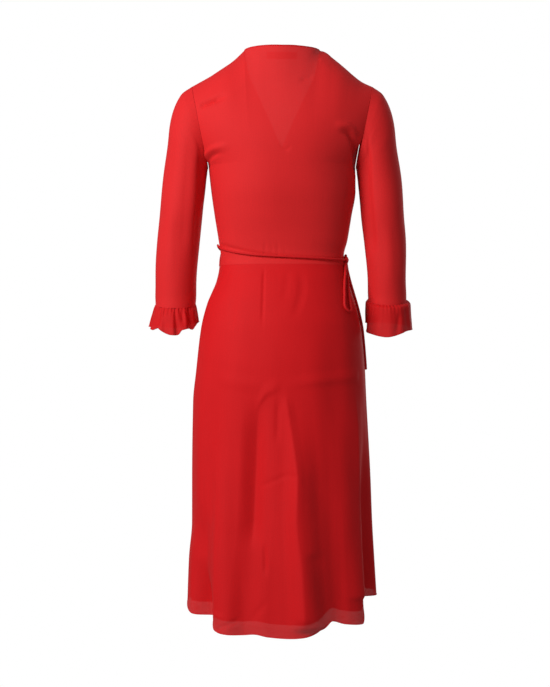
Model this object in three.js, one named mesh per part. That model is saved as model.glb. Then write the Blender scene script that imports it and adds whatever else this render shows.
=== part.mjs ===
// Wrap dress in sheer crepe: fitted bodice, three-quarter sleeves with ruffled cuffs, lined midi skirt,
// and a tie round the waist with a bow at the side.
// Millimetres, +Z up. The front of the dress faces -Y, and the wearer's left is +X.
// The origin is the middle of the neck opening, at the height where the shoulder seams meet the neck.
import * as THREE from "three";

// Cloth and seams
const CLOTH = 1.4;
const FACING_CLOTH = 0.8;
const SEAM_GAP = 0.3;
const LAYER_STEP = 2.4; // from the outer face of one skirt layer to the outer face of the next
const TIE_RADIUS = 2.7;

// Heights of the bodice, and its armhole
const WAIST_Z = -430;
const ARMPIT = { x: 147, z: -234 };
const SHOULDER_END = { x: 180, z: -72 };
const ARMHOLE_HALF_DEPTH = 56;
const NECK_HALF_WIDTH = 75;
const OVERLAP_TOP = { from: -60, full: -165 }; // heights where the fronts start to lie on each other
const FACING_WIDTH = 46;
const LINING_SHARE = 0.965; // the lining's length as a share of the skirt's

// Plan sections of the dress: half widths to the wearer's left and right, and depths to the back and front.
// Each section is a superellipse, a little squarer than an ellipse.
const SQUARENESS = 2.2;
const SECTIONS = [
  { z: ARMPIT.z, left: 147, right: 147, back: 103, front: 128 },
  { z: -280, left: 142, right: 147.5, back: 98, front: 132 },
  { z: -330, left: 135, right: 139.5, back: 86, front: 116 },
  { z: -380, left: 127, right: 131, back: 74, front: 98 },
  { z: -410, left: 123, right: 124, back: 70, front: 90 },
  { z: WAIST_Z, left: 124, right: 126, back: 74, front: 91 },
  { z: -458, left: 130, right: 132.5, back: 86, front: 95 },
  { z: -482, left: 140, right: 139.5, back: 95, front: 99 },
  { z: -506, left: 150, right: 147, back: 103, front: 103 },
  { z: -554, left: 162, right: 158, back: 115, front: 109 },
  { z: -640, left: 172, right: 166, back: 123, front: 112 },
  { z: -700, left: 178, right: 169, back: 123, front: 114 },
  { z: -850, left: 180, right: 177, back: 126, front: 120 },
  { z: -938, left: 180, right: 180, back: 132, front: 126 },
  { z: -1010, left: 186, right: 184, back: 138, front: 132 },
  { z: -1120, left: 190, right: 191, back: 146, front: 140 },
];

// Depth of the upper bodice before its shoulders close over, by share of the way up from the armpit
const UPPER_DEPTHS = [
  { share: 0, back: 103, front: 128 },
  { share: 0.25, back: 107, front: 124 },
  { share: 0.6, back: 104, front: 112 },
  { share: 1, back: 97, front: 98 },
];

// Height of the neck edge and the shoulder seams, left and right, by distance from the centre line
const SHOULDER_LINE = [
  { x: 0, left: -2, right: -2 },
  { x: NECK_HALF_WIDTH, left: 0, right: 0 },
  { x: 82, left: -6, right: -1 },
  { x: 90, left: -14, right: -5 },
  { x: 100, left: -23, right: -14 },
  { x: 114, left: -33, right: -26 },
  { x: 128, left: -42, right: -38 },
  { x: 142, left: -51, right: -50 },
  { x: 160, left: -61, right: -63 },
  { x: SHOULDER_END.x, left: SHOULDER_END.z, right: SHOULDER_END.z },
];

// The V edge of the outer, right front: it runs from the right shoulder to the left side of the waist
const V_EDGE = [
  { z: WAIST_Z, x: 122 },
  { z: -400, x: 118 },
  { z: -300, x: 64 },
  { z: -178, x: 0 },
  { z: -130, x: -22 },
  { z: -80, x: -47 },
  { z: -30, x: -70 },
  { z: 0, x: -NECK_HALF_WIDTH },
];

// Folds of the skirt, by angle round it: 0 the left side, 90 the back, 180 the right side, 270 the front.
// A fold starts at a height and wanders by angle. It has a depth halfway down and one at the hem,
// both outwards if positive.
const FOLDS = [
  { top: 27, middle: 30, hem: 35.5, spread: 15, halfway: -9, depth: -32, start: -880 },
  { top: 50, middle: 54, hem: 57, spread: 13, halfway: 6, depth: 10, start: -760 },
  { top: 76, middle: 75, hem: 71, spread: 12, halfway: -9, depth: -6, start: -640 },
  { top: 92, middle: 96, hem: 99, spread: 15, halfway: 9, depth: 9, start: -620 },
  { top: 112, middle: 116, hem: 118, spread: 13, halfway: -4, depth: -9, start: -800 },
  { top: 134, middle: 136, hem: 137, spread: 13, halfway: 3, depth: 5, start: -760 },
  { top: 160, middle: 157, hem: 157, spread: 15, halfway: -15, depth: -33, start: -740 },
  { top: 214, middle: 214, hem: 214, spread: 14, halfway: 5, depth: 9, start: -700 },
  { top: 233, middle: 234, hem: 236, spread: 14, halfway: -8, depth: -18, start: -620 },
  { top: 254, middle: 255, hem: 257, spread: 14, halfway: 6, depth: 12, start: -680 },
  { top: 273, middle: 275, hem: 278, spread: 14, halfway: -7, depth: -17, start: -600 },
  { top: 293, middle: 296, hem: 298, spread: 14, halfway: 6, depth: 11, start: -700 },
  { top: 312, middle: 313, hem: 315, spread: 13, halfway: -5, depth: -13, start: -760 },
];

// Height of the skirt's hem round the dress
const HEM = [
  { angle: 0, z: -1098 },
  { angle: 12, z: -1106 },
  { angle: 26, z: -1113 },
  { angle: 38, z: -1114 },
  { angle: 43.5, z: -1119 },
  { angle: 49.5, z: -1132 },
  { angle: 56, z: -1136 },
  { angle: 68, z: -1138 },
  { angle: 76, z: -1136 },
  { angle: 84, z: -1140 },
  { angle: 90, z: -1141 },
  { angle: 100, z: -1139 },
  { angle: 108, z: -1132 },
  { angle: 114, z: -1120 },
  { angle: 118, z: -1113 },
  { angle: 127, z: -1120 },
  { angle: 141, z: -1124 },
  { angle: 148.5, z: -1087 },
  { angle: 160, z: -1082 },
  { angle: 230, z: -1086 },
  { angle: 280, z: -1093 },
  { angle: 330, z: -1093 },
  { angle: 360, z: -1098 },
];

// Edges of the skirt fronts, by angle: the outer one slants, the inner one hangs plumb under it
const OUTER_EDGE = { waist: 348, hem: 332, straightFrom: 324 };
const INNER_EDGE = 198;

// Rings of each sleeve from the armhole to the cuff: the underarm point and the outer point, the half depth,
// how far forward the ring lies, and how far its back hangs below its sides
const SLEEVE_HEAD = [
  { inX: 148.5, inZ: -238, outX: 200, outZ: -86, depth: 57, forward: 0, drop: 0 },
  { inX: 149.7, inZ: -242, outX: 208, outZ: -98, depth: 57, forward: 0, drop: 0 },
  { inX: 150.4, inZ: -246, outX: 218, outZ: -122, depth: 56, forward: 0, drop: 0 },
  { inX: 151.2, inZ: -251, outX: 225, outZ: -152, depth: 55, forward: 0, drop: 0 },
  { inX: 152.2, inZ: -260, outX: 230, outZ: -194, depth: 54, forward: 1, drop: 0 },
];
const SLEEVE_LEFT = [
  { inX: 154, inZ: -284, outX: 238, outZ: -262, depth: 51, forward: 2, drop: 0 },
  { inX: 158, inZ: -326, outX: 245.5, outZ: -322, depth: 49, forward: 4, drop: 1 },
  { inX: 165, inZ: -386, outX: 251, outZ: -386, depth: 46, forward: 8, drop: 3 },
  { inX: 170, inZ: -450, outX: 255, outZ: -450, depth: 44, forward: 12, drop: 6 },
  { inX: 173, inZ: -507, outX: 254.5, outZ: -507, depth: 42, forward: 15, drop: 8 },
];
const SLEEVE_RIGHT = [
  { inX: 154, inZ: -284, outX: 239, outZ: -262, depth: 51, forward: 2, drop: 0 },
  { inX: 157, inZ: -326, outX: 245, outZ: -322, depth: 49, forward: 4, drop: 1 },
  { inX: 165, inZ: -386, outX: 249, outZ: -386, depth: 46, forward: 8, drop: 4 },
  { inX: 170.5, inZ: -450, outX: 249.5, outZ: -450, depth: 44, forward: 12, drop: 9 },
  { inX: 173, inZ: -497, outX: 250.5, outZ: -497, depth: 42, forward: 15, drop: 12 },
];

// Rings of each cuff ruffle, with the height of its waves. Tilt lowers the ring's inner side and raises its
// outer side, and lift raises both
const RUFFLE_WAVES = 12;
const BODY_SIDE_CALM = 0.6; // how much lower the waves are next to the skirt
const RUFFLE_LEFT = [
  { inX: 173, outX: 254.5, z: -507.3, depth: 42, forward: 15, drop: 8, wave: 0.8, tilt: 0, lift: 0 },
  { inX: 171, outX: 257, z: -516, depth: 45, forward: 15, drop: 8, wave: 1.6, tilt: 0, lift: 2 },
  { inX: 168.5, outX: 261.5, z: -538, depth: 50, forward: 16, drop: 8, wave: 2.8, tilt: 0, lift: 8 },
  { inX: 167, outX: 266, z: -562, depth: 55, forward: 17, drop: 6, wave: 3.6, tilt: -2, lift: 16 },
];
const RUFFLE_RIGHT = [
  { inX: 173, outX: 250.5, z: -497.3, depth: 42, forward: 15, drop: 12, wave: 0.5, tilt: 0, lift: 0 },
  { inX: 168, outX: 258, z: -504, depth: 48, forward: 15, drop: 12, wave: 0.8, tilt: 0, lift: 0 },
  { inX: 167, outX: 260, z: -528, depth: 50, forward: 16, drop: 10, wave: 1, tilt: 1, lift: 0 },
  { inX: 167.5, outX: 262, z: -558, depth: 52, forward: 17, drop: 10, wave: 1.4, tilt: 3, lift: 1 },
];

// How much of the hem's own shape each ring of a ruffle takes
const HEM_FOLLOWED = [0, 0.05, 0.35, 1];

// Shape of each cuff's hem by turn round it, 0 the outer side, 90 the back and 180 the side by the skirt:
// how far the hem rises above the last ring and how far it swells out of it
const CUFF_HEM_LEFT = [
  { turn: 0, rise: -2, swell: 0 },
  { turn: 32, rise: -1.7, swell: 0 },
  { turn: 44, rise: 4, swell: 0 },
  { turn: 56, rise: 8.8, swell: 0 },
  { turn: 65, rise: 5.5, swell: 0 },
  { turn: 74, rise: 2.6, swell: 0 },
  { turn: 86, rise: 0.5, swell: 0 },
  { turn: 103, rise: -0.6, swell: 0 },
  { turn: 113, rise: 6.3, swell: 0 },
  { turn: 120, rise: 5.9, swell: 0 },
  { turn: 131, rise: 3.6, swell: 0 },
  { turn: 143, rise: -2.5, swell: 0 },
  { turn: 150, rise: 1.2, swell: 0 },
  { turn: 180, rise: 3.4, swell: 0 },
  { turn: 270, rise: 4, swell: 0 },
  { turn: 360, rise: -2, swell: 0 },
];
const CUFF_HEM_RIGHT = [
  { turn: 0, rise: -2.3, swell: 0 },
  { turn: 46, rise: 2.8, swell: 0 },
  { turn: 60, rise: 1.2, swell: 0 },
  { turn: 82, rise: -2.3, swell: 0 },
  { turn: 99, rise: -3.7, swell: 0 },
  { turn: 118, rise: -2.1, swell: 0 },
  { turn: 141, rise: 0.8, swell: 2 },
  { turn: 155, rise: 3, swell: 4 },
  { turn: 168, rise: 18, swell: -4 },
  { turn: 180, rise: 18, swell: 0 },
  { turn: 200, rise: 14, swell: 0 },
  { turn: 270, rise: 6, swell: 0 },
  { turn: 360, rise: -2.3, swell: 0 },
];

// The tie's route round the waist: angle, height, and how far its middle stands off the dress
const WAIST_TIE_ROUTE = [
  { angle: -28, z: -398, stand: 7.9 },
  { angle: -20, z: -395, stand: 7.9 },
  { angle: -12, z: -391, stand: 6.4 },
  { angle: -5, z: -389, stand: 4.2 },
  { angle: 0, z: -388.5, stand: 3.6 },
  { angle: 12, z: -393, stand: 3.7 },
  { angle: 25, z: -399, stand: 3.8 },
  { angle: 45, z: -406, stand: 3.8 },
  { angle: 65, z: -411.5, stand: 3.8 },
  { angle: 90, z: -415.5, stand: 3.8 },
  { angle: 115, z: -418, stand: 3.8 },
  { angle: 140, z: -419.5, stand: 3.8 },
  { angle: 158, z: -419.5, stand: 3.8 },
  { angle: 166.4, z: -419, stand: 3.8 },
];

// The bow at the wearer's right side. Its loops and ends lie on the dress: y from the side seam, and height
const KNOT = { y: 10, z: -419, stand: 4.8, along: 7.5, thick: 4.1 };
const TIE_STAND = 3.4;
const BOW_LOOP_BACK = [
  { y: 16, z: -424.3 },
  { y: 19, z: -428.5 },
  { y: 26, z: -439 },
  { y: 35, z: -451 },
  { y: 44, z: -464 },
  { y: 52, z: -478 },
  { y: 58.5, z: -491 },
  { y: 64, z: -502 },
  { y: 67, z: -511 },
  { y: 66, z: -518.5 },
  { y: 61, z: -522 },
  { y: 56, z: -518.5 },
  { y: 53, z: -510 },
  { y: 49.5, z: -499 },
  { y: 44, z: -486 },
  { y: 36, z: -469.5 },
  { y: 27, z: -452.5 },
  { y: 18, z: -438 },
  { y: 13.3, z: -431.5 },
  { y: 11.2, z: -427 },
];
const BOW_LOOP_FRONT = [
  { y: 6.2, z: -410.9 },
  { y: 2.6, z: -409.5 },
  { y: -4, z: -409.4 },
  { y: -12, z: -411.5 },
  { y: -21, z: -417 },
  { y: -30, z: -428 },
  { y: -38, z: -444 },
  { y: -46, z: -464 },
  { y: -53, z: -485 },
  { y: -57, z: -500 },
  { y: -57, z: -510 },
  { y: -52, z: -516 },
  { y: -46, z: -513 },
  { y: -42, z: -503 },
  { y: -38, z: -486 },
  { y: -32, z: -465 },
  { y: -25, z: -444.5 },
  { y: -17, z: -427 },
  { y: -9.5, z: -418.6 },
  { y: -4, z: -415.9 },
  { y: 2.6, z: -415.6 },
];
const TIE_END_SIDE = [
  { y: 5.4, z: -426 },
  { y: 2.5, z: -430 },
  { y: -1, z: -437 },
  { y: -3.5, z: -447 },
  { y: -5, z: -463 },
  { y: -6.5, z: -487 },
  { y: -8.5, z: -515 },
  { y: -10.5, z: -550 },
  { y: -12, z: -585 },
  { y: -13, z: -615 },
  { y: -13.5, z: -636 },
];
const TIE_END_FRONT = [
  { y: 2, z: -421.4 },
  { y: -2, z: -422.8 },
  { y: -7, z: -425.5 },
  { y: -11.5, z: -432 },
  { y: -15, z: -442 },
  { y: -17.5, z: -456 },
  { y: -19.5, z: -477 },
  { y: -21, z: -500 },
  { y: -23, z: -530 },
  { y: -25, z: -565 },
  { y: -27, z: -600 },
  { y: -29, z: -635 },
  { y: -30, z: -668 },
];

// How finely the walls are divided
const BACK_COLUMNS = [180, 162, 144, 126, 108, 90, NECK_HALF_WIDTH, 60, 45, 30, 15, 0];
const FRONT_COLUMNS = 12;
const FACING_COLUMNS = 2;
const LOWER_LEVELS = [-1, -0.95, -0.901, -0.8, -0.62, -0.42, -0.2, 0];
const UPPER_LEVELS = [0.12, 0.25, 0.38, 0.5, 0.61, 0.7, 0.775, 0.846, 0.92, 1];
const LABEL = { top: 0.846, bottom: 0.775, columns: 2 };
const SKIRT_SHARES = [0, 0.05, 0.12, 0.24, 0.42, 0.6, 0.78, LINING_SHARE, 1];
const SKIRT_STEP = 6;
const EDGE_COLUMNS = 3;
const SLEEVE_COLUMNS = 16;
const RUFFLE_COLUMNS = 5 * RUFFLE_WAVES;
const TIE_SIDES = 8;
const TIE_STEP = 2.4 * 2 * TIE_RADIUS;

const KNOT_DIVISIONS = { around: 12, along: 8 };

// How the upper bodice closes over: sooner in front of and behind the neck than over the shoulders
const NECK_CLOSING = 2.2;
const SHOULDER_CLOSING = 3;
const CLOSING_CHANGE = { from: 0.1, to: 0.7 };

const DEGREE = Math.PI / 180;
const BACK = { sign: 1, key: "back", neckDepth: 58 };
const FRONT = { sign: -1, key: "front", neckDepth: 20 };

const lerp = THREE.MathUtils.lerp;
const smooth = (value, from, to) => THREE.MathUtils.smoothstep(value, from, to);
const signedPower = (value, power) => Math.sign(value) * Math.abs(value) ** power;

// A smooth curve through a table's rows: it never swings past them
function curve(rows, input, output) {
  const at = rows.map((row) => row[input]);
  const value = rows.map((row) => row[output]);
  if (at[0] > at[at.length - 1]) {
    at.reverse();
    value.reverse();
  }
  const last = at.length - 1;
  const secant = at.slice(1).map((x, i) => (value[i + 1] - value[i]) / (x - at[i]));
  const slope = at.map((x, i) => {
    if (i === 0) return secant[0];
    if (i === last) return secant[last - 1];
    const product = secant[i - 1] * secant[i];
    return product > 0 ? (2 * product) / (secant[i - 1] + secant[i]) : 0;
  });
  return (x) => {
    if (x <= at[0]) return value[0];
    if (x >= at[last]) return value[last];
    const i = at.findIndex((stop) => stop > x) - 1;
    const width = at[i + 1] - at[i];
    const s = (x - at[i]) / width;
    const rise = s * s * (3 - 2 * s);
    const enter = s * (1 - s) * (1 - s) * width * slope[i];
    const leave = s * s * (s - 1) * width * slope[i + 1];
    return lerp(value[i], value[i + 1], rise) + enter + leave;
  };
}

const sectionSize = {
  left: curve(SECTIONS, "z", "left"),
  right: curve(SECTIONS, "z", "right"),
  back: curve(SECTIONS, "z", "back"),
  front: curve(SECTIONS, "z", "front"),
};
const upperDepth = {
  back: curve(UPPER_DEPTHS, "share", "back"),
  front: curve(UPPER_DEPTHS, "share", "front"),
};
const shoulderZ = {
  left: curve(SHOULDER_LINE, "x", "left"),
  right: curve(SHOULDER_LINE, "x", "right"),
};
const vEdgeX = curve(V_EDGE, "z", "x");
const hemZ = curve(HEM, "angle", "z");

// Point of a plan section at an angle round the dress, and its outward direction
function sectionPoint(angle, z) {
  const cosine = Math.cos(angle * DEGREE);
  const sine = Math.sin(angle * DEGREE);
  const width = cosine >= 0 ? sectionSize.left(z) : sectionSize.right(z);
  const depth = sine >= 0 ? sectionSize.back(z) : sectionSize.front(z);
  const power = 2 / SQUARENESS;
  const point = new THREE.Vector3(
    width * signedPower(cosine, power),
    depth * signedPower(sine, power),
    z,
  );
  const push = new THREE.Vector3(
    signedPower(cosine, 2 - power) / width,
    signedPower(sine, 2 - power) / depth,
    0,
  ).normalize();
  return { point, push };
}

// How far the folds push the skirt out at an angle and height
function foldDepth(angle, z) {
  let depth = 0;
  for (const fold of FOLDS) {
    const share = (fold.start - z) / (fold.start - hemZ(fold.hem));
    if (share <= 0) continue;
    const centre =
      share < 0.5
        ? lerp(fold.top, fold.middle, smooth(share, 0, 0.5))
        : lerp(fold.middle, fold.hem, smooth(share, 0.5, 1));
    const reach = Math.abs(angle - centre) / fold.spread;
    if (reach >= 1) continue;
    const size =
      share < 0.5
        ? fold.halfway * smooth(share, 0, 0.5)
        : lerp(fold.halfway, fold.depth, smooth(share, 0.5, 1));
    depth += size * Math.cos((reach * Math.PI) / 2) ** 2;
  }
  return depth;
}

// How far a front stands off the dress because of the wrap: the outer front rises from its own
// side seam towards its edge, and the inner front sinks by as much
function wrapShift(outer, share) {
  return (outer ? 1 : -1) * LAYER_STEP * share;
}

// The armhole: an ellipse in a leaning plane, with its outward direction
const ARMHOLE = (() => {
  const bottom = new THREE.Vector3(ARMPIT.x, 0, ARMPIT.z);
  const top = new THREE.Vector3(SHOULDER_END.x, 0, SHOULDER_END.z);
  const half = top.clone().sub(bottom).multiplyScalar(0.5);
  const outward = new THREE.Vector3(half.z, 0, -half.x).normalize();
  return { bottom, top, outward };
})();

// Upper bodice: share is the way up from the armpit. The section is widened so that it passes
// through the armhole, at the quarter angle where the armhole cuts it.
function upperSection(half, share) {
  const borderX = lerp(ARMPIT.x, SHOULDER_END.x, share);
  const borderY = 2 * ARMHOLE_HALF_DEPTH * Math.sqrt(share / (1 + share + share * share));
  const depth = upperDepth[half.key](share);
  const cut = (borderY / depth) ** SQUARENESS;
  return {
    borderX,
    depth,
    width: borderX / (1 - cut) ** (1 / SQUARENESS),
    border: Math.asin(Math.sqrt(cut)) / DEGREE,
  };
}

// Share of the way up for an upper level, which runs evenly round the armhole
const levelShare = (level) => (1 - Math.cos(Math.PI * level)) / 2;

// Quarter angle of the armhole's edge: the side seam's 0 below the armpit
const borderAngle = (half, level) => (level > 0 ? upperSection(half, levelShare(level)).border : 0);

// Point of the bodice: quarter angle 0 at the side and 90 at the centre line, level -1 at the waist,
// 0 at the armpit and 1 at the shoulder and neck
function bodicePoint(half, side, quarter, level) {
  const z = lerp(ARMPIT.z, WAIST_Z + SEAM_GAP / 2, -Math.min(level, 0));
  const cosine = Math.cos(quarter * DEGREE);
  const sine = Math.sin(quarter * DEGREE);
  const power = 2 / SQUARENESS;
  if (level <= 0) {
    const width = side > 0 ? sectionSize.left(z) : sectionSize.right(z);
    const depth = sectionSize[half.key](z);
    const y = depth * signedPower(sine, power) + SEAM_GAP / 2;
    return new THREE.Vector3(side * width * signedPower(cosine, power), half.sign * y, z);
  }
  const share = levelShare(level);
  const section = upperSection(half, share);
  const x = section.width * signedPower(cosine, power);
  const rawY = section.depth * signedPower(sine, power);
  const across = Math.min(x / section.borderX, 1);
  const topX = across * SHOULDER_END.x;
  const topY = half.neckDepth * Math.sqrt(Math.max(0, 1 - (topX / NECK_HALF_WIDTH) ** 2));
  const overNeck = 1 - share ** NECK_CLOSING;
  const overShoulder = Math.sqrt(1 - share ** SHOULDER_CLOSING);
  const change = smooth(across, CLOSING_CHANGE.from, CLOSING_CHANGE.to);
  const closing = lerp(overNeck, overShoulder, change);
  const y = topY + (rawY - topY) * closing + SEAM_GAP / 2;
  const topZ = side > 0 ? shoulderZ.left(topX) : shoulderZ.right(topX);
  return new THREE.Vector3(side * x, half.sign * y, lerp(ARMPIT.z, topZ, share));
}

// Point of the bodice with its outward direction, kept in the seam's plane where a seam runs
function bodiceSite(half, side, quarter, level) {
  const turn = 1.5;
  const climb = 0.02;
  const here = bodicePoint(half, side, quarter, level);
  const alongRow = bodicePoint(half, side, Math.min(quarter + turn, 90), level).sub(
    bodicePoint(half, side, Math.max(quarter - turn, 0), level),
  );
  const up = bodicePoint(half, side, quarter, Math.min(level + climb, 1)).sub(
    bodicePoint(half, side, quarter, Math.max(level - climb, -1)),
  );
  const push = alongRow.cross(up).normalize();
  const middle = new THREE.Vector3(0, 0, -250);
  if (push.dot(here.clone().sub(middle)) < 0) push.negate();
  const onShoulder = level === 1 && Math.abs(here.x) > NECK_HALF_WIDTH - 1;
  if (level === -1) push.z = 0;
  if (onShoulder || (level <= 0 && quarter === 0)) push.y = 0;
  if (level > 0 && quarter <= borderAngle(half, level) + 1e-6) {
    const outward = ARMHOLE.outward.clone();
    outward.x *= side;
    push.addScaledVector(outward, -Math.min(0, push.dot(outward)));
  }
  return { point: here, push: push.normalize(), shift: 0 };
}

// Point of a front bodice: count is 0 at its own side, 1 at the centre line and 2 at the far side
function frontSite(outer, count, level) {
  const border = borderAngle(FRONT, level);
  const ownSide = outer ? -1 : 1;
  const share = count <= 1 ? count : 2 - count;
  const side = count <= 1 ? ownSide : -ownSide;
  const site = bodiceSite(FRONT, side, lerp(border, 90, share), level);
  const overlap = smooth(-site.point.z, -OVERLAP_TOP.from, -OVERLAP_TOP.full);
  site.shift = wrapShift(outer, count) * overlap;
  return site;
}

// Where the V edge meets a level, as a count across the front
function edgeCount(level) {
  const z = level > 0 ? lerp(ARMPIT.z, 0, levelShare(level)) : lerp(ARMPIT.z, WAIST_Z, -level);
  const x = vEdgeX(z);
  const width = level > 0 ? upperSection(FRONT, levelShare(level)).width : sectionSize.left(z);
  const quarter = Math.acos(Math.min(1, (Math.abs(x) / width) ** (SQUARENESS / 2))) / DEGREE;
  const border = borderAngle(FRONT, level);
  const share = (quarter - border) / (90 - border);
  return x < 0 ? share : 2 - share;
}

// Where the facing's inner edge meets a level: the facing's width back from the V edge
function facingCount(level) {
  const edge = edgeCount(level);
  const start = frontSite(true, edge, level).point;
  let near = edge;
  let far = 0;
  for (let i = 0; i < 24; i++) {
    const middle = (near + far) / 2;
    if (frontSite(true, middle, level).point.distanceTo(start) < FACING_WIDTH) near = middle;
    else far = middle;
  }
  return near;
}

// A closed wall between two skins, each a list of rows of points
function wallBetween(outer, inner, closed) {
  const rows = outer.length;
  const columns = outer[0].length;
  const positions = [...outer.flat(), ...inner.flat()].flatMap((p) => [p.x, p.y, p.z]);
  const at = (skin, r, c) => (skin * rows + r) * columns + (c % columns);
  const index = [];
  const quad = (a, b, c, d) => index.push(a, b, c, a, c, d);
  const spans = closed ? columns : columns - 1;
  const lastRow = rows - 1;
  for (let c = 0; c < spans; c++) {
    for (let r = 0; r < lastRow; r++) {
      quad(at(0, r, c), at(0, r, c + 1), at(0, r + 1, c + 1), at(0, r + 1, c));
      quad(at(1, r, c), at(1, r + 1, c), at(1, r + 1, c + 1), at(1, r, c + 1));
    }
    quad(at(0, 0, c), at(1, 0, c), at(1, 0, c + 1), at(0, 0, c + 1));
    quad(at(0, lastRow, c), at(0, lastRow, c + 1), at(1, lastRow, c + 1), at(1, lastRow, c));
  }
  if (!closed) {
    for (let r = 0; r < lastRow; r++) {
      quad(at(0, r, 0), at(0, r + 1, 0), at(1, r + 1, 0), at(1, r, 0));
      quad(at(0, r + 1, spans), at(0, r, spans), at(1, r, spans), at(1, r + 1, spans));
    }
  }
  const geometry = new THREE.BufferGeometry();
  geometry.setAttribute("position", new THREE.Float32BufferAttribute(positions, 3));
  geometry.setIndex(index);
  return facingOut(geometry);
}

// The same geometry with its faces turned outwards
function facingOut(geometry) {
  const index = geometry.index.array;
  const position = geometry.attributes.position;
  const corner = (i) => new THREE.Vector3().fromBufferAttribute(position, index[i]);
  let volume = 0;
  for (let i = 0; i < index.length; i += 3) {
    volume += corner(i).dot(corner(i + 1).cross(corner(i + 2)));
  }
  if (volume < 0) index.reverse();
  geometry.computeVertexNormals();
  return geometry;
}

// A panel of cloth on rows of sites: depth is how far its outer face lies below the dress's surface
function panel(sites, depth, thickness) {
  const skin = (below) =>
    sites.map((row) =>
      row.map((site) => site.point.clone().addScaledVector(site.push, site.shift - below)),
    );
  return wallBetween(skin(depth), skin(depth + thickness), false);
}

const BODICE_LEVELS = [...LOWER_LEVELS, ...UPPER_LEVELS];

// Columns of the back bodice, as shares of the way from each armhole to the centre line
function backShares() {
  const { width, border } = upperSection(BACK, 1);
  return BACK_COLUMNS.map((x) => {
    const quarter = Math.acos((x / width) ** (SQUARENESS / 2)) / DEGREE;
    return (quarter - border) / (90 - border);
  });
}

// Sites of the back bodice for some levels and some of its columns, counted from the centre line
function backSites(levels, reach) {
  const shares = backShares();
  const last = shares.length - 1;
  const columns = [];
  for (let c = -reach; c <= reach; c++) {
    columns.push({ side: c < 0 ? -1 : 1, share: shares[last - Math.abs(c)] });
  }
  return levels.map((level) => {
    const border = borderAngle(BACK, level);
    return columns.map(({ side, share }) =>
      bodiceSite(BACK, side, share === 0 ? border : lerp(border, 90, share), level),
    );
  });
}

// Sites of a front bodice, whose last columns are the facing's
function frontSites(outer, facingOnly) {
  return BODICE_LEVELS.map((level) => {
    const edge = edgeCount(level);
    const facing = facingCount(level);
    const counts = [];
    if (!facingOnly) {
      for (let c = 0; c < FRONT_COLUMNS; c++) counts.push((facing * c) / FRONT_COLUMNS);
    }
    for (let c = 0; c <= FACING_COLUMNS; c++) counts.push(lerp(facing, edge, c / FACING_COLUMNS));
    return counts.map((count) => frontSite(outer, count, level));
  });
}

// Site of the skirt at an angle and a share of the way down
function skirtSite(angle, share, shift) {
  const top = WAIST_Z - SEAM_GAP / 2;
  const z = lerp(top, hemZ(angle), share);
  const { point, push } = sectionPoint(angle, z);
  const half = angle > 0 && angle < 180 ? 1 : -1;
  point.y += (half * SEAM_GAP) / 2;
  return { point, push, shift: shift + foldDepth(angle, z) };
}

// Sites of a skirt piece, from its angles at a share of the way down
function skirtSites(shares, anglesAt, shiftAt) {
  return shares.map((share) =>
    anglesAt(share).map((angle) => skirtSite(angle, share, shiftAt(angle))),
  );
}

// Angles from one to another in even steps
function evenAngles(from, to, step) {
  const count = Math.round(Math.abs(to - from) / step);
  return Array.from({ length: count + 1 }, (_, i) => lerp(from, to, i / count));
}

const backAngles = () => evenAngles(0.001, 179.999, SKIRT_STEP);
const innerFrontAngles = () => evenAngles(INNER_EDGE, 359.999, SKIRT_STEP);
const liningInnerAngles = () => evenAngles(INNER_EDGE + SKIRT_STEP, 359.999, SKIRT_STEP);

// Angles of the outer front: even, then spread to its slanting edge
function outerFrontAngles(share) {
  const even = evenAngles(180.001, OUTER_EDGE.straightFrom, SKIRT_STEP);
  const edge = lerp(OUTER_EDGE.waist, OUTER_EDGE.hem, share);
  for (let c = 1; c <= EDGE_COLUMNS; c++) {
    even.push(lerp(OUTER_EDGE.straightFrom, edge, c / EDGE_COLUMNS));
  }
  return even;
}

const outerShift = (angle) => wrapShift(true, (angle - 180) / 90);
const innerShift = (angle) => wrapShift(false, (360 - angle) / 90);

// How a plain ring swells and rises, at any turn
const plain = () => ({ swell: 1, rise: 0 });

// A ring of points round a sleeve, in the plane of its two side points
function sleeveRing(side, ring, columns, inset, shape) {
  const inner = new THREE.Vector3(ring.inX, 0, ring.inZ);
  const outer = new THREE.Vector3(ring.outX, 0, ring.outZ);
  const centre = inner.clone().lerp(outer, 0.5);
  const half = outer.clone().sub(centre);
  half.setLength(half.length() - inset);
  const points = [];
  for (let c = 0; c < columns; c++) {
    const turn = (2 * Math.PI * c) / columns;
    const { swell, rise } = shape(turn);
    const across = half.clone().multiplyScalar(Math.cos(turn) * swell);
    const y = (ring.depth - inset) * Math.sin(turn) * swell - ring.forward;
    const z = centre.z + across.z - ring.drop * Math.sin(turn) + rise;
    points.push(new THREE.Vector3(side * (centre.x + across.x), y, z));
  }
  return points;
}

// A sleeve's rings, starting with the armhole's own ellipse moved out by the seam gap
function sleeveRings(rows) {
  const gap = ARMHOLE.outward.clone().multiplyScalar(SEAM_GAP);
  const first = {
    inX: ARMHOLE.bottom.x + gap.x,
    inZ: ARMHOLE.bottom.z + gap.z,
    outX: ARMHOLE.top.x + gap.x,
    outZ: ARMHOLE.top.z + gap.z,
    depth: ARMHOLE_HALF_DEPTH,
    forward: 0,
    drop: 0,
  };
  return [first, ...SLEEVE_HEAD, ...rows];
}

function sleeve(side, rows) {
  const rings = sleeveRings(rows);
  const skin = (inset) => rings.map((ring) => sleeveRing(side, ring, SLEEVE_COLUMNS, inset, plain));
  return wallBetween(skin(0), skin(CLOTH), true);
}

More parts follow.
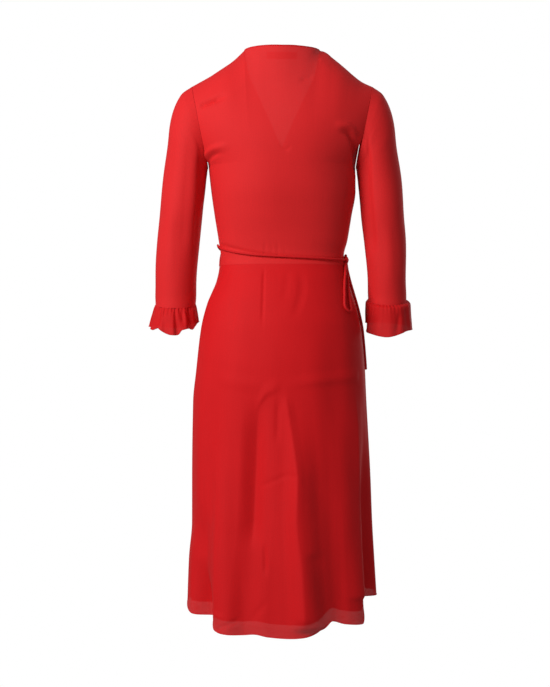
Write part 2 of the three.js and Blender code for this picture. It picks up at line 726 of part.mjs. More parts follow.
// How a ring of a cuff ruffle swells and rises, by turn
function ruffleShape(ring, followed, hem) {
  const size = (ring.outX - ring.inX) / 2;
  return (turn) => {
    const degrees = turn / DEGREE;
    const room = 1 + BODY_SIDE_CALM * Math.min(0, Math.cos(turn));
    const wave = ring.wave * room * Math.cos(RUFFLE_WAVES * turn);
    return {
      swell: 1 + (wave + followed * hem.swell(degrees)) / size,
      rise: ring.lift * Math.cos(turn) ** 2 + followed * hem.rise(degrees),
    };
  };
}

function ruffle(side, rows, hemRows) {
  const hem = { swell: curve(hemRows, "turn", "swell"), rise: curve(hemRows, "turn", "rise") };
  const skin = (inset) =>
    rows.map((row, i) => {
      const ring = { ...row, inZ: row.z - row.tilt, outZ: row.z + row.tilt };
      return sleeveRing(side, ring, RUFFLE_COLUMNS, inset, ruffleShape(row, HEM_FOLLOWED[i], hem));
    });
  return wallBetween(skin(0), skin(CLOTH), true);
}

// A point on the outside of the dress near the waist, at an angle and height
function standOff(angle, z, stand) {
  const { point, push } = sectionPoint(angle, z);
  return point.addScaledVector(push, stand);
}

// Angle of a point on the dress's right side, from its distance back of the side seam
function sideAngle(y, z) {
  const depth = y >= 0 ? sectionSize.back(z) : sectionSize.front(z);
  return 180 - (Math.sign(y) * Math.asin((Math.abs(y) / depth) ** (SQUARENESS / 2))) / DEGREE;
}

// A point on the dress's right side, over the outer front where it is forward of the side seam
function besideSeam({ y, z }) {
  const angle = sideAngle(y, z);
  return standOff(angle, z, TIE_STAND + Math.max(0, outerShift(angle)));
}

// A round tie along points
function tie(points) {
  const path = new THREE.CatmullRomCurve3(points, false, "centripetal");
  const section = new THREE.Shape();
  for (let i = 0; i < TIE_SIDES; i++) {
    const turn = (2 * Math.PI * i) / TIE_SIDES;
    const x = TIE_RADIUS * Math.cos(turn);
    const y = TIE_RADIUS * Math.sin(turn);
    if (i === 0) section.moveTo(x, y);
    else section.lineTo(x, y);
  }
  section.closePath();
  return new THREE.ExtrudeGeometry(section, {
    steps: Math.round(path.getLength() / TIE_STEP),
    extrudePath: path,
    bevelEnabled: false,
  });
}

const bowStrand = (rows) => tie(rows.map(besideSeam));

function knot() {
  const angle = sideAngle(KNOT.y, KNOT.z);
  const { push } = sectionPoint(angle, KNOT.z);
  const centre = standOff(angle, KNOT.z, KNOT.stand);
  return new THREE.SphereGeometry(1, KNOT_DIVISIONS.around, KNOT_DIVISIONS.along)
    .scale(KNOT.thick, KNOT.along, KNOT.along)
    .rotateZ(Math.atan2(push.y, push.x))
    .translate(centre.x, centre.y, centre.z);
}

// Materials
const sheer = () => new THREE.MeshStandardMaterial({ color: 0xcf2a30, roughness: 0.85 });
const lined = () => new THREE.MeshStandardMaterial({ color: 0xc21a20, roughness: 0.8 });
const lining = () => new THREE.MeshStandardMaterial({ color: 0xb5141b, roughness: 0.6 });
const tieCloth = () => new THREE.MeshStandardMaterial({ color: 0xc0161d, roughness: 0.7 });
const ribbon = () => new THREE.MeshStandardMaterial({ color: 0xc4252b, roughness: 0.45 });

const dress = new THREE.Group();

function add(name, geometry, material) {
  const mesh = new THREE.Mesh(geometry, material);
  mesh.name = name;
  dress.add(mesh);
}

// Bodice
const facingDepth = CLOTH + SEAM_GAP;
const labelLevels = [LABEL.bottom, LABEL.top];
const wholeBack = BACK_COLUMNS.length - 1;
add("back_bodice", panel(backSites(BODICE_LEVELS, wholeBack), 0, CLOTH), sheer());
add("front_bodice_right", panel(frontSites(true, false), 0, CLOTH), sheer());
add("front_bodice_left", panel(frontSites(false, false), 0, CLOTH), sheer());
add("facing_right", panel(frontSites(true, true), facingDepth, FACING_CLOTH), sheer());
add("facing_left", panel(frontSites(false, true), facingDepth, FACING_CLOTH), sheer());
add("neck_label", panel(backSites(labelLevels, LABEL.columns), facingDepth, FACING_CLOTH), ribbon());

// Sleeves and their cuff ruffles
add("sleeve_left", sleeve(1, SLEEVE_LEFT), sheer());
add("sleeve_right", sleeve(-1, SLEEVE_RIGHT), sheer());
add("cuff_ruffle_left", ruffle(1, RUFFLE_LEFT, CUFF_HEM_LEFT), sheer());
add("cuff_ruffle_right", ruffle(-1, RUFFLE_RIGHT, CUFF_HEM_RIGHT), sheer());

// Skirt and its lining
const liningShares = SKIRT_SHARES.slice(0, -1);
const liningOuterAngles = (share) => outerFrontAngles(share).slice(0, -1);
const flat = () => 0;
const skirtBack = skirtSites(SKIRT_SHARES, backAngles, flat);
const skirtRight = skirtSites(SKIRT_SHARES, outerFrontAngles, outerShift);
const skirtLeft = skirtSites(SKIRT_SHARES, innerFrontAngles, innerShift);
const liningBack = skirtSites(liningShares, backAngles, flat);
const liningRight = skirtSites(liningShares, liningOuterAngles, outerShift);
const liningLeft = skirtSites(liningShares, liningInnerAngles, innerShift);
add("skirt_back", panel(skirtBack, 0, CLOTH), lined());
add("skirt_front_right", panel(skirtRight, 0, CLOTH), lined());
add("skirt_front_left", panel(skirtLeft, 0, CLOTH), lined());
add("lining_back", panel(liningBack, LAYER_STEP, CLOTH), lining());
add("lining_front_right", panel(liningRight, LAYER_STEP, CLOTH), lining());
add("lining_front_left", panel(liningLeft, LAYER_STEP, CLOTH), lining());

// Tie and bow
const waistRoute = WAIST_TIE_ROUTE.map((row) => standOff(row.angle, row.z, row.stand));
add("waist_tie", tie(waistRoute), tieCloth());
add("bow_knot", knot(), tieCloth());
add("bow_loop_back", bowStrand(BOW_LOOP_BACK), tieCloth());
add("bow_loop_front", bowStrand(BOW_LOOP_FRONT), tieCloth());
add("tie_end_side", bowStrand(TIE_END_SIDE), tieCloth());
add("tie_end_front", bowStrand(TIE_END_FRONT), tieCloth());

export default dress;
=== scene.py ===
"""Wrap dress in sheer red crepe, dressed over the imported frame.

Sizes are in millimetres until a mesh is made. +Z is up, -Y is the front and +X the wearer's left.
"""
import logging
import math
from dataclasses import dataclass
from enum import Enum
from functools import cached_property
from typing import Any, Sequence

import bmesh
import bpy
import numpy as np
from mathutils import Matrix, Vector


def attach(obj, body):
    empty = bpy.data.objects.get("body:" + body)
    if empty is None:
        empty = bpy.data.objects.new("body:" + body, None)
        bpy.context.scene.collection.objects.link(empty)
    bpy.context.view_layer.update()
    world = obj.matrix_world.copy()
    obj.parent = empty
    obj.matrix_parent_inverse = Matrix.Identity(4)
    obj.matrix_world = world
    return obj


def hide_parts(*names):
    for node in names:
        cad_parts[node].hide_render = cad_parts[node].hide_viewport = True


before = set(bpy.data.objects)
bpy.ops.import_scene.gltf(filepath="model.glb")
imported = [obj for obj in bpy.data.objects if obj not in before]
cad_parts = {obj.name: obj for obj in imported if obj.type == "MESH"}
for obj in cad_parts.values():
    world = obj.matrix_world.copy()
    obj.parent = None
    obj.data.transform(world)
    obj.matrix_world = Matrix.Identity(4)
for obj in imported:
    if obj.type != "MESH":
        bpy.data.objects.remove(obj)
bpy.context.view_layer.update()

Array = np.ndarray
Number = float | Array
Table = tuple[tuple[float, ...], ...]
Colour = tuple[float, float, float]
Place = tuple[float, float, float]

LOG = logging.getLogger("dress")
METRE = 0.001  # metres in a millimetre
COARSE = 1  # quick tries take every second row and column
WALL_MIDDLE = 0.7  # depth of the middle of a solid's wall below its outer face
CORE = np.array([0.0, 0.0, -300.0])  # a point inside the bodice
SKIRT_CORE = np.array([0.0, 0.0, -800.0])  # a point inside the skirt
SEAM_ALLOWANCE = (0.3, 7.0)  # where a side seam's allowance starts and ends, from the seam
SEAM_DEPTH = 0.55  # how far an allowance lies behind the cloth


def lerp(start: Number, end: Number, share: Number) -> Number:
    """The value that lies a share of the way from start to end."""
    return start + (end - start) * share


def smooth(value: Number, low: float, high: float) -> Number:
    """A soft step from 0 at low to 1 at high."""
    share = np.clip((value - low) / (high - low), 0.0, 1.0)
    return share * share * (3.0 - 2.0 * share)


def soft_round(place: Number, spread: Number) -> Array:
    """The height of a half round of radius 1, its corners eased over a spread.

    Args:
        place: Places across the round, -1 and 1 at its ends.
        spread: How far its corners are eased, 0 for not at all.

    Returns:
        The heights.
    """
    offsets = np.linspace(-1.0, 1.0, 61)
    shares = np.cos(offsets * math.pi / 2.2) ** 2
    heights = [np.sqrt(np.maximum(0.0, 1 - (place + spread * offset) ** 2)) for offset in offsets]
    return sum(share * height for share, height in zip(shares, heights)) / shares.sum()


def hump(reach: Array, keen: float) -> Array:
    """The height across a crease, 1 at its middle and 0 at a reach of 1, sharper if it is keen."""
    return lerp(np.cos(reach * math.pi / 2) ** 2, (1.0 - reach) ** 1.5, keen)


def faded(share: Array, fade: tuple[float, float]) -> Number:
    """How much of a crease there is along its route.

    Args:
        share: Shares of the way along it.
        fade: Shares over which it fades in at the start and out at the end.

    Returns:
        The part of its full height.
    """
    start = smooth(share, 0.0, fade[0]) if fade[0] else 1.0
    end = 1.0 - smooth(share, 1.0 - fade[1], 1.0) if fade[1] else 1.0
    return start * end


def signed_power(value: Number, power: float) -> Number:
    """A power that keeps the value's sign."""
    return np.sign(value) * np.abs(value) ** power


def steps(start: float, end: float, count: int) -> Array:
    """Even stops from start to end, about count of them, fewer for a quick try."""
    return np.linspace(start, end, max(3, count // COARSE + 1))


def column(rows: Table, index: int) -> Array:
    """One column of a table."""
    return np.array([row[index] for row in rows], dtype=float)


class Curve:
    """A smooth curve through a table's stops that never swings past them."""

    def __init__(self, at: Sequence[float], value: Sequence[float]) -> None:
        """Fits the curve.

        Args:
            at: Where the stops are, rising or falling.
            value: The curve's value at each stop.
        """
        order = np.argsort(at)
        self.at = np.asarray(at, dtype=float)[order]
        self.value = np.asarray(value, dtype=float)[order]
        secant = np.diff(self.value) / np.diff(self.at)
        self.slope = np.empty_like(self.at)
        self.slope[0], self.slope[-1] = secant[0], secant[-1]
        product = secant[:-1] * secant[1:]
        total = np.where(product > 0, secant[:-1] + secant[1:], 1.0)
        self.slope[1:-1] = np.where(product > 0, 2.0 * product / total, 0.0)

    def __call__(self, x: Number) -> Array:
        """The curve's value at x."""
        x = np.clip(x, self.at[0], self.at[-1])
        i = np.clip(np.searchsorted(self.at, x, side="right") - 1, 0, len(self.at) - 2)
        width = self.at[i + 1] - self.at[i]
        s = (x - self.at[i]) / width
        rise = s * s * (3.0 - 2.0 * s)
        enter = s * (1.0 - s) ** 2 * width * self.slope[i]
        leave = s * s * (s - 1.0) * width * self.slope[i + 1]
        return lerp(self.value[i], self.value[i + 1], rise) + enter + leave


@dataclass(frozen=True)
class Crease:
    """A soft trough or ridge of cloth along a route.

    Attributes:
        route: Stops of (along, across) in millimetres.
        width: Half its width.
        depth: Its height at the middle, outwards if positive.
        lean: From -1 to 1, how much wider it is on its positive side.
        keen: From 0 to 1, how sharply it is folded.
        fade: Shares of the route over which it fades in at the low end and out at the high end.
    """

    route: Table
    width: float
    depth: float
    lean: float = 0.0
    keen: float = 0.0
    fade: tuple[float, float] = (0.35, 0.35)

    @cached_property
    def middle(self) -> Curve:
        """Where the crease's middle runs."""
        return Curve(column(self.route, 0), column(self.route, 1))

    def rise(self, along: Array, across: Array) -> Array:
        """How far the crease lifts the cloth.

        Args:
            along: Distances in the crease's own direction.
            across: Distances across it.

        Returns:
            The lift at each place.
        """
        low, high = self.middle.at[0], self.middle.at[-1]
        share = (along - low) / (high - low)
        inside = (share > 0) & (share < 1)
        offset = across - self.middle(along)
        reach = np.minimum(np.abs(offset) / (self.width * (1.0 + self.lean * np.sign(offset))), 1.0)
        return np.where(inside, self.depth * hump(reach, self.keen) * faded(share, self.fade), 0.0)


@dataclass(frozen=True)
class Fold:
    """A trough or ridge of cloth along a line that may turn round.

    Attributes:
        route: Places (x, z) it passes, in millimetres.
        left: Its width on the left of the way along it.
        right: Its width on the right.
        depth: Its height at the middle, outwards if positive.
        keen: From 0 to 1, how sharply it is folded.
        fade: Shares of the route over which it fades in and out.
    """

    route: Table
    left: float
    right: float
    depth: float
    keen: float = 0.0
    fade: tuple[float, float] = (0.3, 0.3)

    def rise(self, x: Array, z: Array) -> Array:
        """How far the fold lifts the cloth.

        Args:
            x: Distances to the wearer's left.
            z: Heights.

        Returns:
            The lift at each place.
        """
        stops = np.array(self.route, dtype=float)
        line = smooth_path(np.column_stack([stops, np.zeros(len(stops))]), 3.0)[:, :2]
        step = np.diff(line, axis=0)
        length = np.linalg.norm(step, axis=1)
        start = np.concatenate([[0.0], np.cumsum(length)])
        nearest, beside, along = np.full(x.shape, np.inf), np.zeros(x.shape), np.zeros(x.shape)
        for (px, pz), (dx, dz), size, begun in zip(line[:-1], step, length, start[:-1]):
            share = np.clip(((x - px) * dx + (z - pz) * dz) / size**2, 0.0, 1.0)
            off_x, off_z = x - px - share * dx, z - pz - share * dz
            distance = np.hypot(off_x, off_z)
            closer = distance < nearest
            nearest = np.where(closer, distance, nearest)
            beside = np.where(closer, np.sign(dx * off_z - dz * off_x), beside)
            along = np.where(closer, begun + share * size, along)
        reach = np.minimum(nearest / np.where(beside > 0, self.left, self.right), 1.0)
        return self.depth * hump(reach, self.keen) * faded(along / start[-1], self.fade)


@dataclass(frozen=True)
class Ripple:
    """A shallow, endless wave of the cloth.

    Attributes:
        height: Half its height.
        first: How slowly it changes along the first direction; the larger, the slower.
        second: The same for the second direction.
        start: Where in its turn it starts, in radians.
    """

    height: float
    first: float
    second: float
    start: float = 0.0

    def rise(self, along: Array, across: Array) -> Array:
        """How far the wave lifts the cloth at each place."""
        return self.height * np.sin(along / self.first + across / self.second + self.start)


def total_rise(shapes: Sequence[Crease | Fold | Ripple], along: Array, across: Array) -> Array:
    """How far creases, folds or ripples lift the cloth together."""
    return sum((shape.rise(along, across) for shape in shapes), np.zeros_like(along))


class Half(Enum):
    """Which half of the dress a panel belongs to."""

    BACK = 1
    FRONT = -1


class Layer(Enum):
    """How a panel lies in the wrap: plain, over the other front or under it."""

    PLAIN = 0
    OUTER = 1
    INNER = -1


class Edge(Enum):
    """One of the four edges of a grid of cloth."""

    FIRST_ROW = "first_row"
    LAST_ROW = "last_row"
    FIRST_COLUMN = "first_column"
    LAST_COLUMN = "last_column"


@dataclass
class ClothGrid:
    """A rectangular grid of points on a piece of cloth.

    Attributes:
        points: Rows of points, in millimetres.
        closed: Whether the last column joins the first.
    """

    points: Array
    closed: bool = False

    def normals(self) -> Array:
        """Unit normals of the cloth at the grid's points."""
        if self.closed:
            across = np.roll(self.points, -1, axis=1) - np.roll(self.points, 1, axis=1)
        else:
            across = np.gradient(self.points, axis=1)
        normal = np.cross(across, np.gradient(self.points, axis=0))
        length = np.linalg.norm(normal, axis=2, keepdims=True)
        return normal / np.maximum(length, 1e-9)

    def facing_out(self, centre: Array) -> "ClothGrid":
        """The grid with its columns turned round if it faces the centre.

        Args:
            centre: A point or points inside the garment.

        Returns:
            A grid whose normals point away from the centre.
        """
        outward = np.sum(self.normals() * (self.points - centre))
        return self if outward > 0 else ClothGrid(self.points[:, ::-1], self.closed)

    def moved(self, distance: Number) -> "ClothGrid":
        """The grid moved along its normals by a distance, or one for each point."""
        lift = np.broadcast_to(distance, self.points.shape[:2])[..., None]
        return ClothGrid(self.points + self.normals() * lift, self.closed)

    def along(self, edge: Edge) -> Array:
        """The grid's points in lines that start on an edge and run into the cloth."""
        if edge is Edge.FIRST_ROW:
            return np.swapaxes(self.points, 0, 1)
        if edge is Edge.LAST_ROW:
            return np.swapaxes(self.points[::-1], 0, 1)
        return self.points if edge is Edge.FIRST_COLUMN else self.points[:, ::-1]

    def edge_path(self, edge: Edge) -> Array:
        """The points along one edge."""
        return self.along(edge)[:, 0]

    def edge_strip(self, edge: Edge, start: float, end: float, count: int = 4) -> "ClothGrid":
        """A strip of the cloth beside an edge.

        Args:
            edge: The edge it follows.
            start: Distance of its near side from the edge.
            end: Distance of its far side from the edge.
            count: How many spans it has across.

        Returns:
            The strip's own grid.
        """
        stops = np.linspace(start, end, count + 1)
        rows = []
        for line in self.along(edge):
            reach = np.concatenate([[0.0], np.cumsum(np.linalg.norm(np.diff(line, axis=0), axis=1))])
            rows.append(np.stack([np.interp(stops, reach, line[:, k]) for k in range(3)], axis=1))
        strip = np.array(rows)
        if self.closed and edge in (Edge.FIRST_ROW, Edge.LAST_ROW):
            return ClothGrid(np.swapaxes(strip, 0, 1), True)
        return ClothGrid(strip)

    def area(self) -> float:
        """The cloth's area in square metres."""
        p = np.concatenate([self.points, self.points[:, :1]], axis=1) if self.closed else self.points
        a = np.cross(p[:-1, 1:] - p[:-1, :-1], p[1:, :-1] - p[:-1, :-1])
        b = np.cross(p[1:, :-1] - p[1:, 1:], p[:-1, 1:] - p[1:, 1:])
        total = np.linalg.norm(a, axis=2).sum() + np.linalg.norm(b, axis=2).sum()
        return float(total) / 2 * METRE * METRE

    def shell(self, name: str, thickness: float) -> bpy.types.Object:
        """Builds the cloth as a thin closed shell with its weave's coordinates.

        Args:
            name: The new object's name.
            thickness: The cloth's thickness.

        Returns:
            The new object.
        """
        rows, columns = self.points.shape[:2]
        lift = self.normals() * thickness / 2
        verts = np.concatenate([(self.points + lift).reshape(-1, 3), (self.points - lift).reshape(-1, 3)])
        spans = columns if self.closed else columns - 1
        r, c = np.meshgrid(np.arange(rows - 1), np.arange(spans), indexing="ij")
        r, c = r.ravel(), c.ravel()
        last = np.full(spans, rows - 1)
        first = np.zeros(spans, dtype=int)
        ends = np.arange(spans)
        parts = [
            [(0, r, c), (0, r, c + 1), (0, r + 1, c + 1), (0, r + 1, c)],
            [(1, r, c), (1, r + 1, c), (1, r + 1, c + 1), (1, r, c + 1)],
            [(0, first, ends), (1, first, ends), (1, first, ends + 1), (0, first, ends + 1)],
            [(0, last, ends), (0, last, ends + 1), (1, last, ends + 1), (1, last, ends)],
        ]
        if not self.closed:
            up = np.arange(rows - 1)
            near, far = np.zeros(rows - 1, dtype=int), np.full(rows - 1, columns - 1)
            parts.append([(0, up, near), (0, up + 1, near), (1, up + 1, near), (1, up, near)])
            parts.append([(0, up, far), (1, up, far), (1, up + 1, far), (0, up + 1, far)])
        u, v = self.weave_stops()
        faces, weave = [], []
        for part in parts:
            index = [(skin * rows + row) * columns + col % columns for skin, row, col in part]
            faces.append(np.stack(index, axis=1))
            weave.append(np.stack([np.stack([u[col], v[row]], axis=1) for _, row, col in part], axis=1))
        return mesh_object(name, verts, np.concatenate(faces), np.concatenate(weave).reshape(-1, 2))

    def weave_stops(self) -> tuple[Array, Array]:
        """Distances in metres along the middle row and the middle column."""
        row = self.points[len(self.points) // 2]
        if self.closed:
            row = np.concatenate([row, row[:1]])
        line = self.points[:, self.points.shape[1] // 2]
        stops = []
        for path in (row, line):
            span = np.linalg.norm(np.diff(path, axis=0), axis=1)
            stops.append(np.concatenate([[0.0], np.cumsum(span)]) * METRE)
        return stops[0], stops[1]


def mesh_object(name: str, verts: Array, faces: Array, weave: Array) -> bpy.types.Object:
    """Makes a smooth mesh object.

    Args:
        name: The object's name.
        verts: Points in millimetres.
        faces: Corner numbers of each face, four each.
        weave: The weave's coordinates at each face corner, in metres.

    Returns:
        The new object, linked to the scene.
    """
    mesh = bpy.data.meshes.new(name)
    mesh.from_pydata((verts * METRE).tolist(), [], faces.tolist())
    layer = mesh.uv_layers.new(name="weave")
    layer.data.foreach_set("uv", weave.astype(np.float32).ravel())
    mesh.shade_smooth()
    mesh.set_sharp_from_angle(angle=math.radians(60))
    thing = bpy.data.objects.new(name, mesh)
    bpy.context.scene.collection.objects.link(thing)
    return thing


def smooth_path(points: Array, step: float) -> Array:
    """A smooth line through points.

    Args:
        points: The points it passes through.
        step: About how far apart its own points are.

    Returns:
        The line's points.
    """
    ends = np.concatenate([[2 * points[0] - points[1]], points, [2 * points[-1] - points[-2]]])
    line = []
    for before, start, end, after in zip(ends, ends[1:], ends[2:], ends[3:]):
        gaps = [math.sqrt(np.linalg.norm(b - a)) for a, b in ((before, start), (start, end), (end, after))]
        near = (start - before) / gaps[0] - (end - before) / (gaps[0] + gaps[1]) + (end - start) / gaps[1]
        far = (end - start) / gaps[1] - (after - start) / (gaps[1] + gaps[2]) + (after - end) / gaps[2]
        near, far = near * gaps[1], far * gaps[1]
        count = max(1, round(float(np.linalg.norm(end - start)) / step))
        for t in np.arange(count) / count:
            line.append(
                (2 * t**3 - 3 * t**2 + 1) * start
                + (t**3 - 2 * t**2 + t) * near
                + (3 * t**2 - 2 * t**3) * end
                + (t**3 - t**2) * far
            )
    return np.array(line + [points[-1]])


def tube_object(name: str, rings: Array, round_stops: Array, along_stops: Array) -> bpy.types.Object:
    """Makes a closed lump from rings of points, with a face over each end.

    Args:
        name: The object's name.
        rings: Rows of points, each row a ring.
        round_stops: The weave's coordinates round a ring, with the first place again at the end.
        along_stops: The weave's coordinates from ring to ring.

    Returns:
        The new object.
    """
    count, sides = rings.shape[:2]
    i, k = (part.ravel() for part in np.meshgrid(np.arange(count - 1), np.arange(sides), indexing="ij"))
    corners = [(i, k), (i, k + 1), (i + 1, k + 1), (i + 1, k)]
    faces = np.stack([a * sides + b % sides for a, b in corners], axis=1)
    weave = np.stack([np.stack([round_stops[b], along_stops[a]], axis=1) for a, b in corners], axis=1)
    thing = mesh_object(name, rings.reshape(-1, 3), faces, weave.reshape(-1, 2))
    work = bmesh.new()
    work.from_mesh(thing.data)
    work.verts.ensure_lookup_table()
    for cap in (range(sides - 1, -1, -1), range((count - 1) * sides, count * sides)):
        work.faces.new([work.verts[corner] for corner in cap])
    bmesh.ops.recalc_face_normals(work, faces=work.faces)
    work.to_mesh(thing.data)
    work.free()
    return thing


@dataclass(frozen=True)
class Roll:
    """A rolled edge, seam or tie: a round tube of cloth along a path.

    Attributes:
        radius: Half its width.
        sides: How many faces go round it.
        rounded: Whether its ends are rounded off.
        tip: Its two last rings at a rounded end, as shares of the radius: size, and distance from the end.
    """

    radius: float
    sides: int = 8
    rounded: bool = False
    tip: Table = ((0.35, 0.6), (0.8, 0.36))

    def round_off(self, path: Array, tangent: Array) -> tuple[Array, Array, Array]:
        """Adds smaller rings beyond both ends of a path.

        Args:
            path: The path.
            tangent: Its directions.

        Returns:
            The longer path, its directions and the size of each ring.
        """
        sizes, reach = column(self.tip, 0), column(self.tip, 1)[:, None] * self.radius
        start, end = path[0] - tangent[0] * reach, path[-1] + tangent[-1] * reach[::-1]
        tangent = np.concatenate([tangent[[0, 0]], tangent, tangent[[-1, -1]]])
        sizes = np.concatenate([sizes, np.ones(len(path)), sizes[::-1]])
        return np.concatenate([start, path, end]), tangent, sizes

    def build(self, name: str, path: Array) -> bpy.types.Object:
        """Builds the tube.

        Args:
            name: The new object's name.
            path: The points it follows.

        Returns:
            The new object.
        """
        tangent = np.gradient(path, axis=0)
        tangent /= np.linalg.norm(tangent, axis=1, keepdims=True)
        size = np.ones(len(path))
        if self.rounded:
            path, tangent, size = self.round_off(path, tangent)
        up = np.cross(tangent[0], (0.3, 0.5, 0.81))
        frames = [up / np.linalg.norm(up)]
        for direction in tangent[1:]:
            up = frames[-1] - direction * np.dot(frames[-1], direction)
            frames.append(up / np.linalg.norm(up))
        side = np.array(frames)
        wide = np.cross(tangent, side)
        turn = (np.arange(self.sides) * 2 * math.pi / self.sides)[None, :, None]
        rings = path[:, None] + (np.cos(turn) * wide[:, None] + np.sin(turn) * side[:, None]) * (
            self.radius * size[:, None, None]
        )
        along = np.concatenate([[0.0], np.cumsum(np.linalg.norm(np.diff(path, axis=0), axis=1))])
        round_stops = np.linspace(0, 2 * math.pi * self.radius, self.sides + 1)
        return tube_object(name, rings, round_stops * METRE, along * METRE)


HEM_ROLL = Roll(0.95, sides=6)
CUFF_ROLL = Roll(1.1, sides=6)
NECK_ROLL = Roll(1.5)
V_EDGE_ROLL = Roll(1.3)


@dataclass(frozen=True)
class UpperSection:
    """A plan section of the bodice above the armpits.

    Attributes:
        border_x: Distance of the armhole's edge from the centre line.
        depth: Depth from the middle to the centre back or front.
        width: Half width of the whole section.
        border: Quarter angle at which the armhole cuts it.
    """

    border_x: Number
    depth: Number
    width: Number
    border: Number


@dataclass(frozen=True)
class DressForm:
    """The dress's own surface, the same as the solids have.

    Attributes:
        squareness: Power of the plan sections, 2 for an ellipse.
        seam_gap: Distance between two pieces at a seam.
        layer_step: Distance between the wrap's two fronts at the centre line.
        waist_z: Height of the waist seam.
        armpit: Where the armhole ends below, as x and z.
        shoulder_end: Where it ends above.
        armhole_half_depth: Half the armhole's depth from back to front.
        neck_half_width: Half the neck opening's width.
        neck_depths: How far the neck opening reaches back and forwards.
        neck_easing: How far the neck's corners are eased, the share of the bodice that takes, and its power.
        closing_powers: How soon the upper bodice closes over the neck and over the shoulders.
        closing_change: Where across the bodice the one changes into the other.
        overlap_top: Depths below the neck between which the two fronts come to lie apart.
        facing_width: Width of the facings.
        lining_share: Share of the skirt's length that is lined.
        sections: Plan sections: z, half widths left and right, depths back and front.
        upper_depths: Share of the way up from the armpit, depths back and front.
        shoulder_line: Distance from the centre line, and heights on the left and right.
        v_edge: Height, and where the outer front's V edge is.
        folds: Skirt folds: angle at the top, middle and hem, spread, depth halfway and at the hem, start.
        hem: Angle, and height of the hem.
    """

    squareness: float = 2.2
    seam_gap: float = 0.3
    layer_step: float = 2.4
    waist_z: float = -430
    armpit: tuple[float, float] = (147, -234)
    shoulder_end: tuple[float, float] = (180, -72)
    armhole_half_depth: float = 56
    neck_half_width: float = 75
    neck_depths: tuple[float, float] = (58, 20)
    neck_easing: tuple[float, float, float] = (0.45, 0.15, 0.6)
    closing_powers: tuple[float, float] = (2.2, 3)
    closing_change: tuple[float, float] = (0.1, 0.7)
    overlap_top: tuple[float, float] = (60, 165)
    facing_width: float = 46
    lining_share: float = 0.965
    sections: Table = (
        (-234, 147, 147, 103, 128),
        (-280, 142, 147.5, 98, 132),
        (-330, 135, 139.5, 86, 116),
        (-380, 127, 131, 74, 98),
        (-410, 123, 124, 70, 90),
        (-430, 124, 126, 74, 91),
        (-458, 130, 132.5, 86, 95),
        (-482, 140, 139.5, 95, 99),
        (-506, 150, 147, 103, 103),
        (-554, 162, 158, 115, 109),
        (-640, 172, 166, 123, 112),
        (-700, 178, 169, 123, 114),
        (-850, 180, 177, 126, 120),
        (-938, 180, 180, 132, 126),
        (-1010, 186, 184, 138, 132),
        (-1120, 190, 191, 146, 140),
    )
    upper_depths: Table = ((0, 103, 128), (0.25, 107, 124), (0.6, 104, 112), (1, 97, 98))
    shoulder_line: Table = (
        (0, -2, -2),
        (75, 0, 0),
        (82, -6, -1),
        (90, -14, -5),
        (100, -23, -14),
        (114, -33, -26),
        (128, -42, -38),
        (142, -51, -50),
        (160, -61, -63),
        (180, -72, -72),
    )
    v_edge: Table = (
        (-430, 122), (-400, 118), (-300, 64), (-178, 0), (-130, -22), (-80, -47), (-30, -70), (0, -75),
    )
    folds: Table = (
        (27, 30, 35.5, 15, -9, -32, -880),
        (50, 54, 57, 13, 6, 10, -760),
        (76, 75, 71, 12, -9, -6, -640),
        (92, 96, 99, 15, 9, 9, -620),
        (112, 116, 118, 13, -4, -9, -800),
        (134, 136, 137, 13, 3, 5, -760),
        (160, 157, 157, 15, -15, -33, -740),
        (214, 214, 214, 14, 5, 9, -700),
        (233, 234, 236, 14, -8, -18, -620),
        (254, 255, 257, 14, 6, 12, -680),
        (273, 275, 278, 14, -7, -17, -600),
        (293, 296, 298, 14, 6, 11, -700),
        (312, 313, 315, 13, -5, -13, -760),
    )
    hem: Table = (
        (0, -1098), (12, -1106), (26, -1113), (38, -1114), (43.5, -1119), (49.5, -1132), (56, -1136),
        (68, -1138), (76, -1136), (84, -1140), (90, -1141), (100, -1139), (108, -1132), (114, -1120),
        (118, -1113), (127, -1120), (141, -1124), (148.5, -1087), (160, -1082), (230, -1086), (280, -1093),
        (330, -1093), (360, -1098),
    )

    @cached_property
    def size(self) -> dict[str, Curve]:
        """Curves of the plan sections' half widths and depths by height."""
        names = ("left", "right", "back", "front")
        z = column(self.sections, 0)
        return {name: Curve(z, column(self.sections, i + 1)) for i, name in enumerate(names)}

    @cached_property
    def upper_depth(self) -> dict[Half, Curve]:
        """Curves of the upper bodice's depths by share of the way up."""
        share, back, front = (column(self.upper_depths, i) for i in range(3))
        return {Half.BACK: Curve(share, back), Half.FRONT: Curve(share, front)}

    @cached_property
    def shoulder_z(self) -> tuple[Curve, Curve]:
        """Height of the neck edge and shoulder seam, on the left and right."""
        x = column(self.shoulder_line, 0)
        return Curve(x, column(self.shoulder_line, 1)), Curve(x, column(self.shoulder_line, 2))

    @cached_property
    def v_edge_x(self) -> Curve:
        """Where the V edge is at a height."""
        return Curve(column(self.v_edge, 0), column(self.v_edge, 1))

    @cached_property
    def hem_z(self) -> Curve:
        """Height of the skirt's hem at an angle."""
        return Curve(column(self.hem, 0), column(self.hem, 1))

    def depth_curve(self, half: Half) -> Curve:
        """The depth curve of one half."""
        return self.size["back" if half is Half.BACK else "front"]

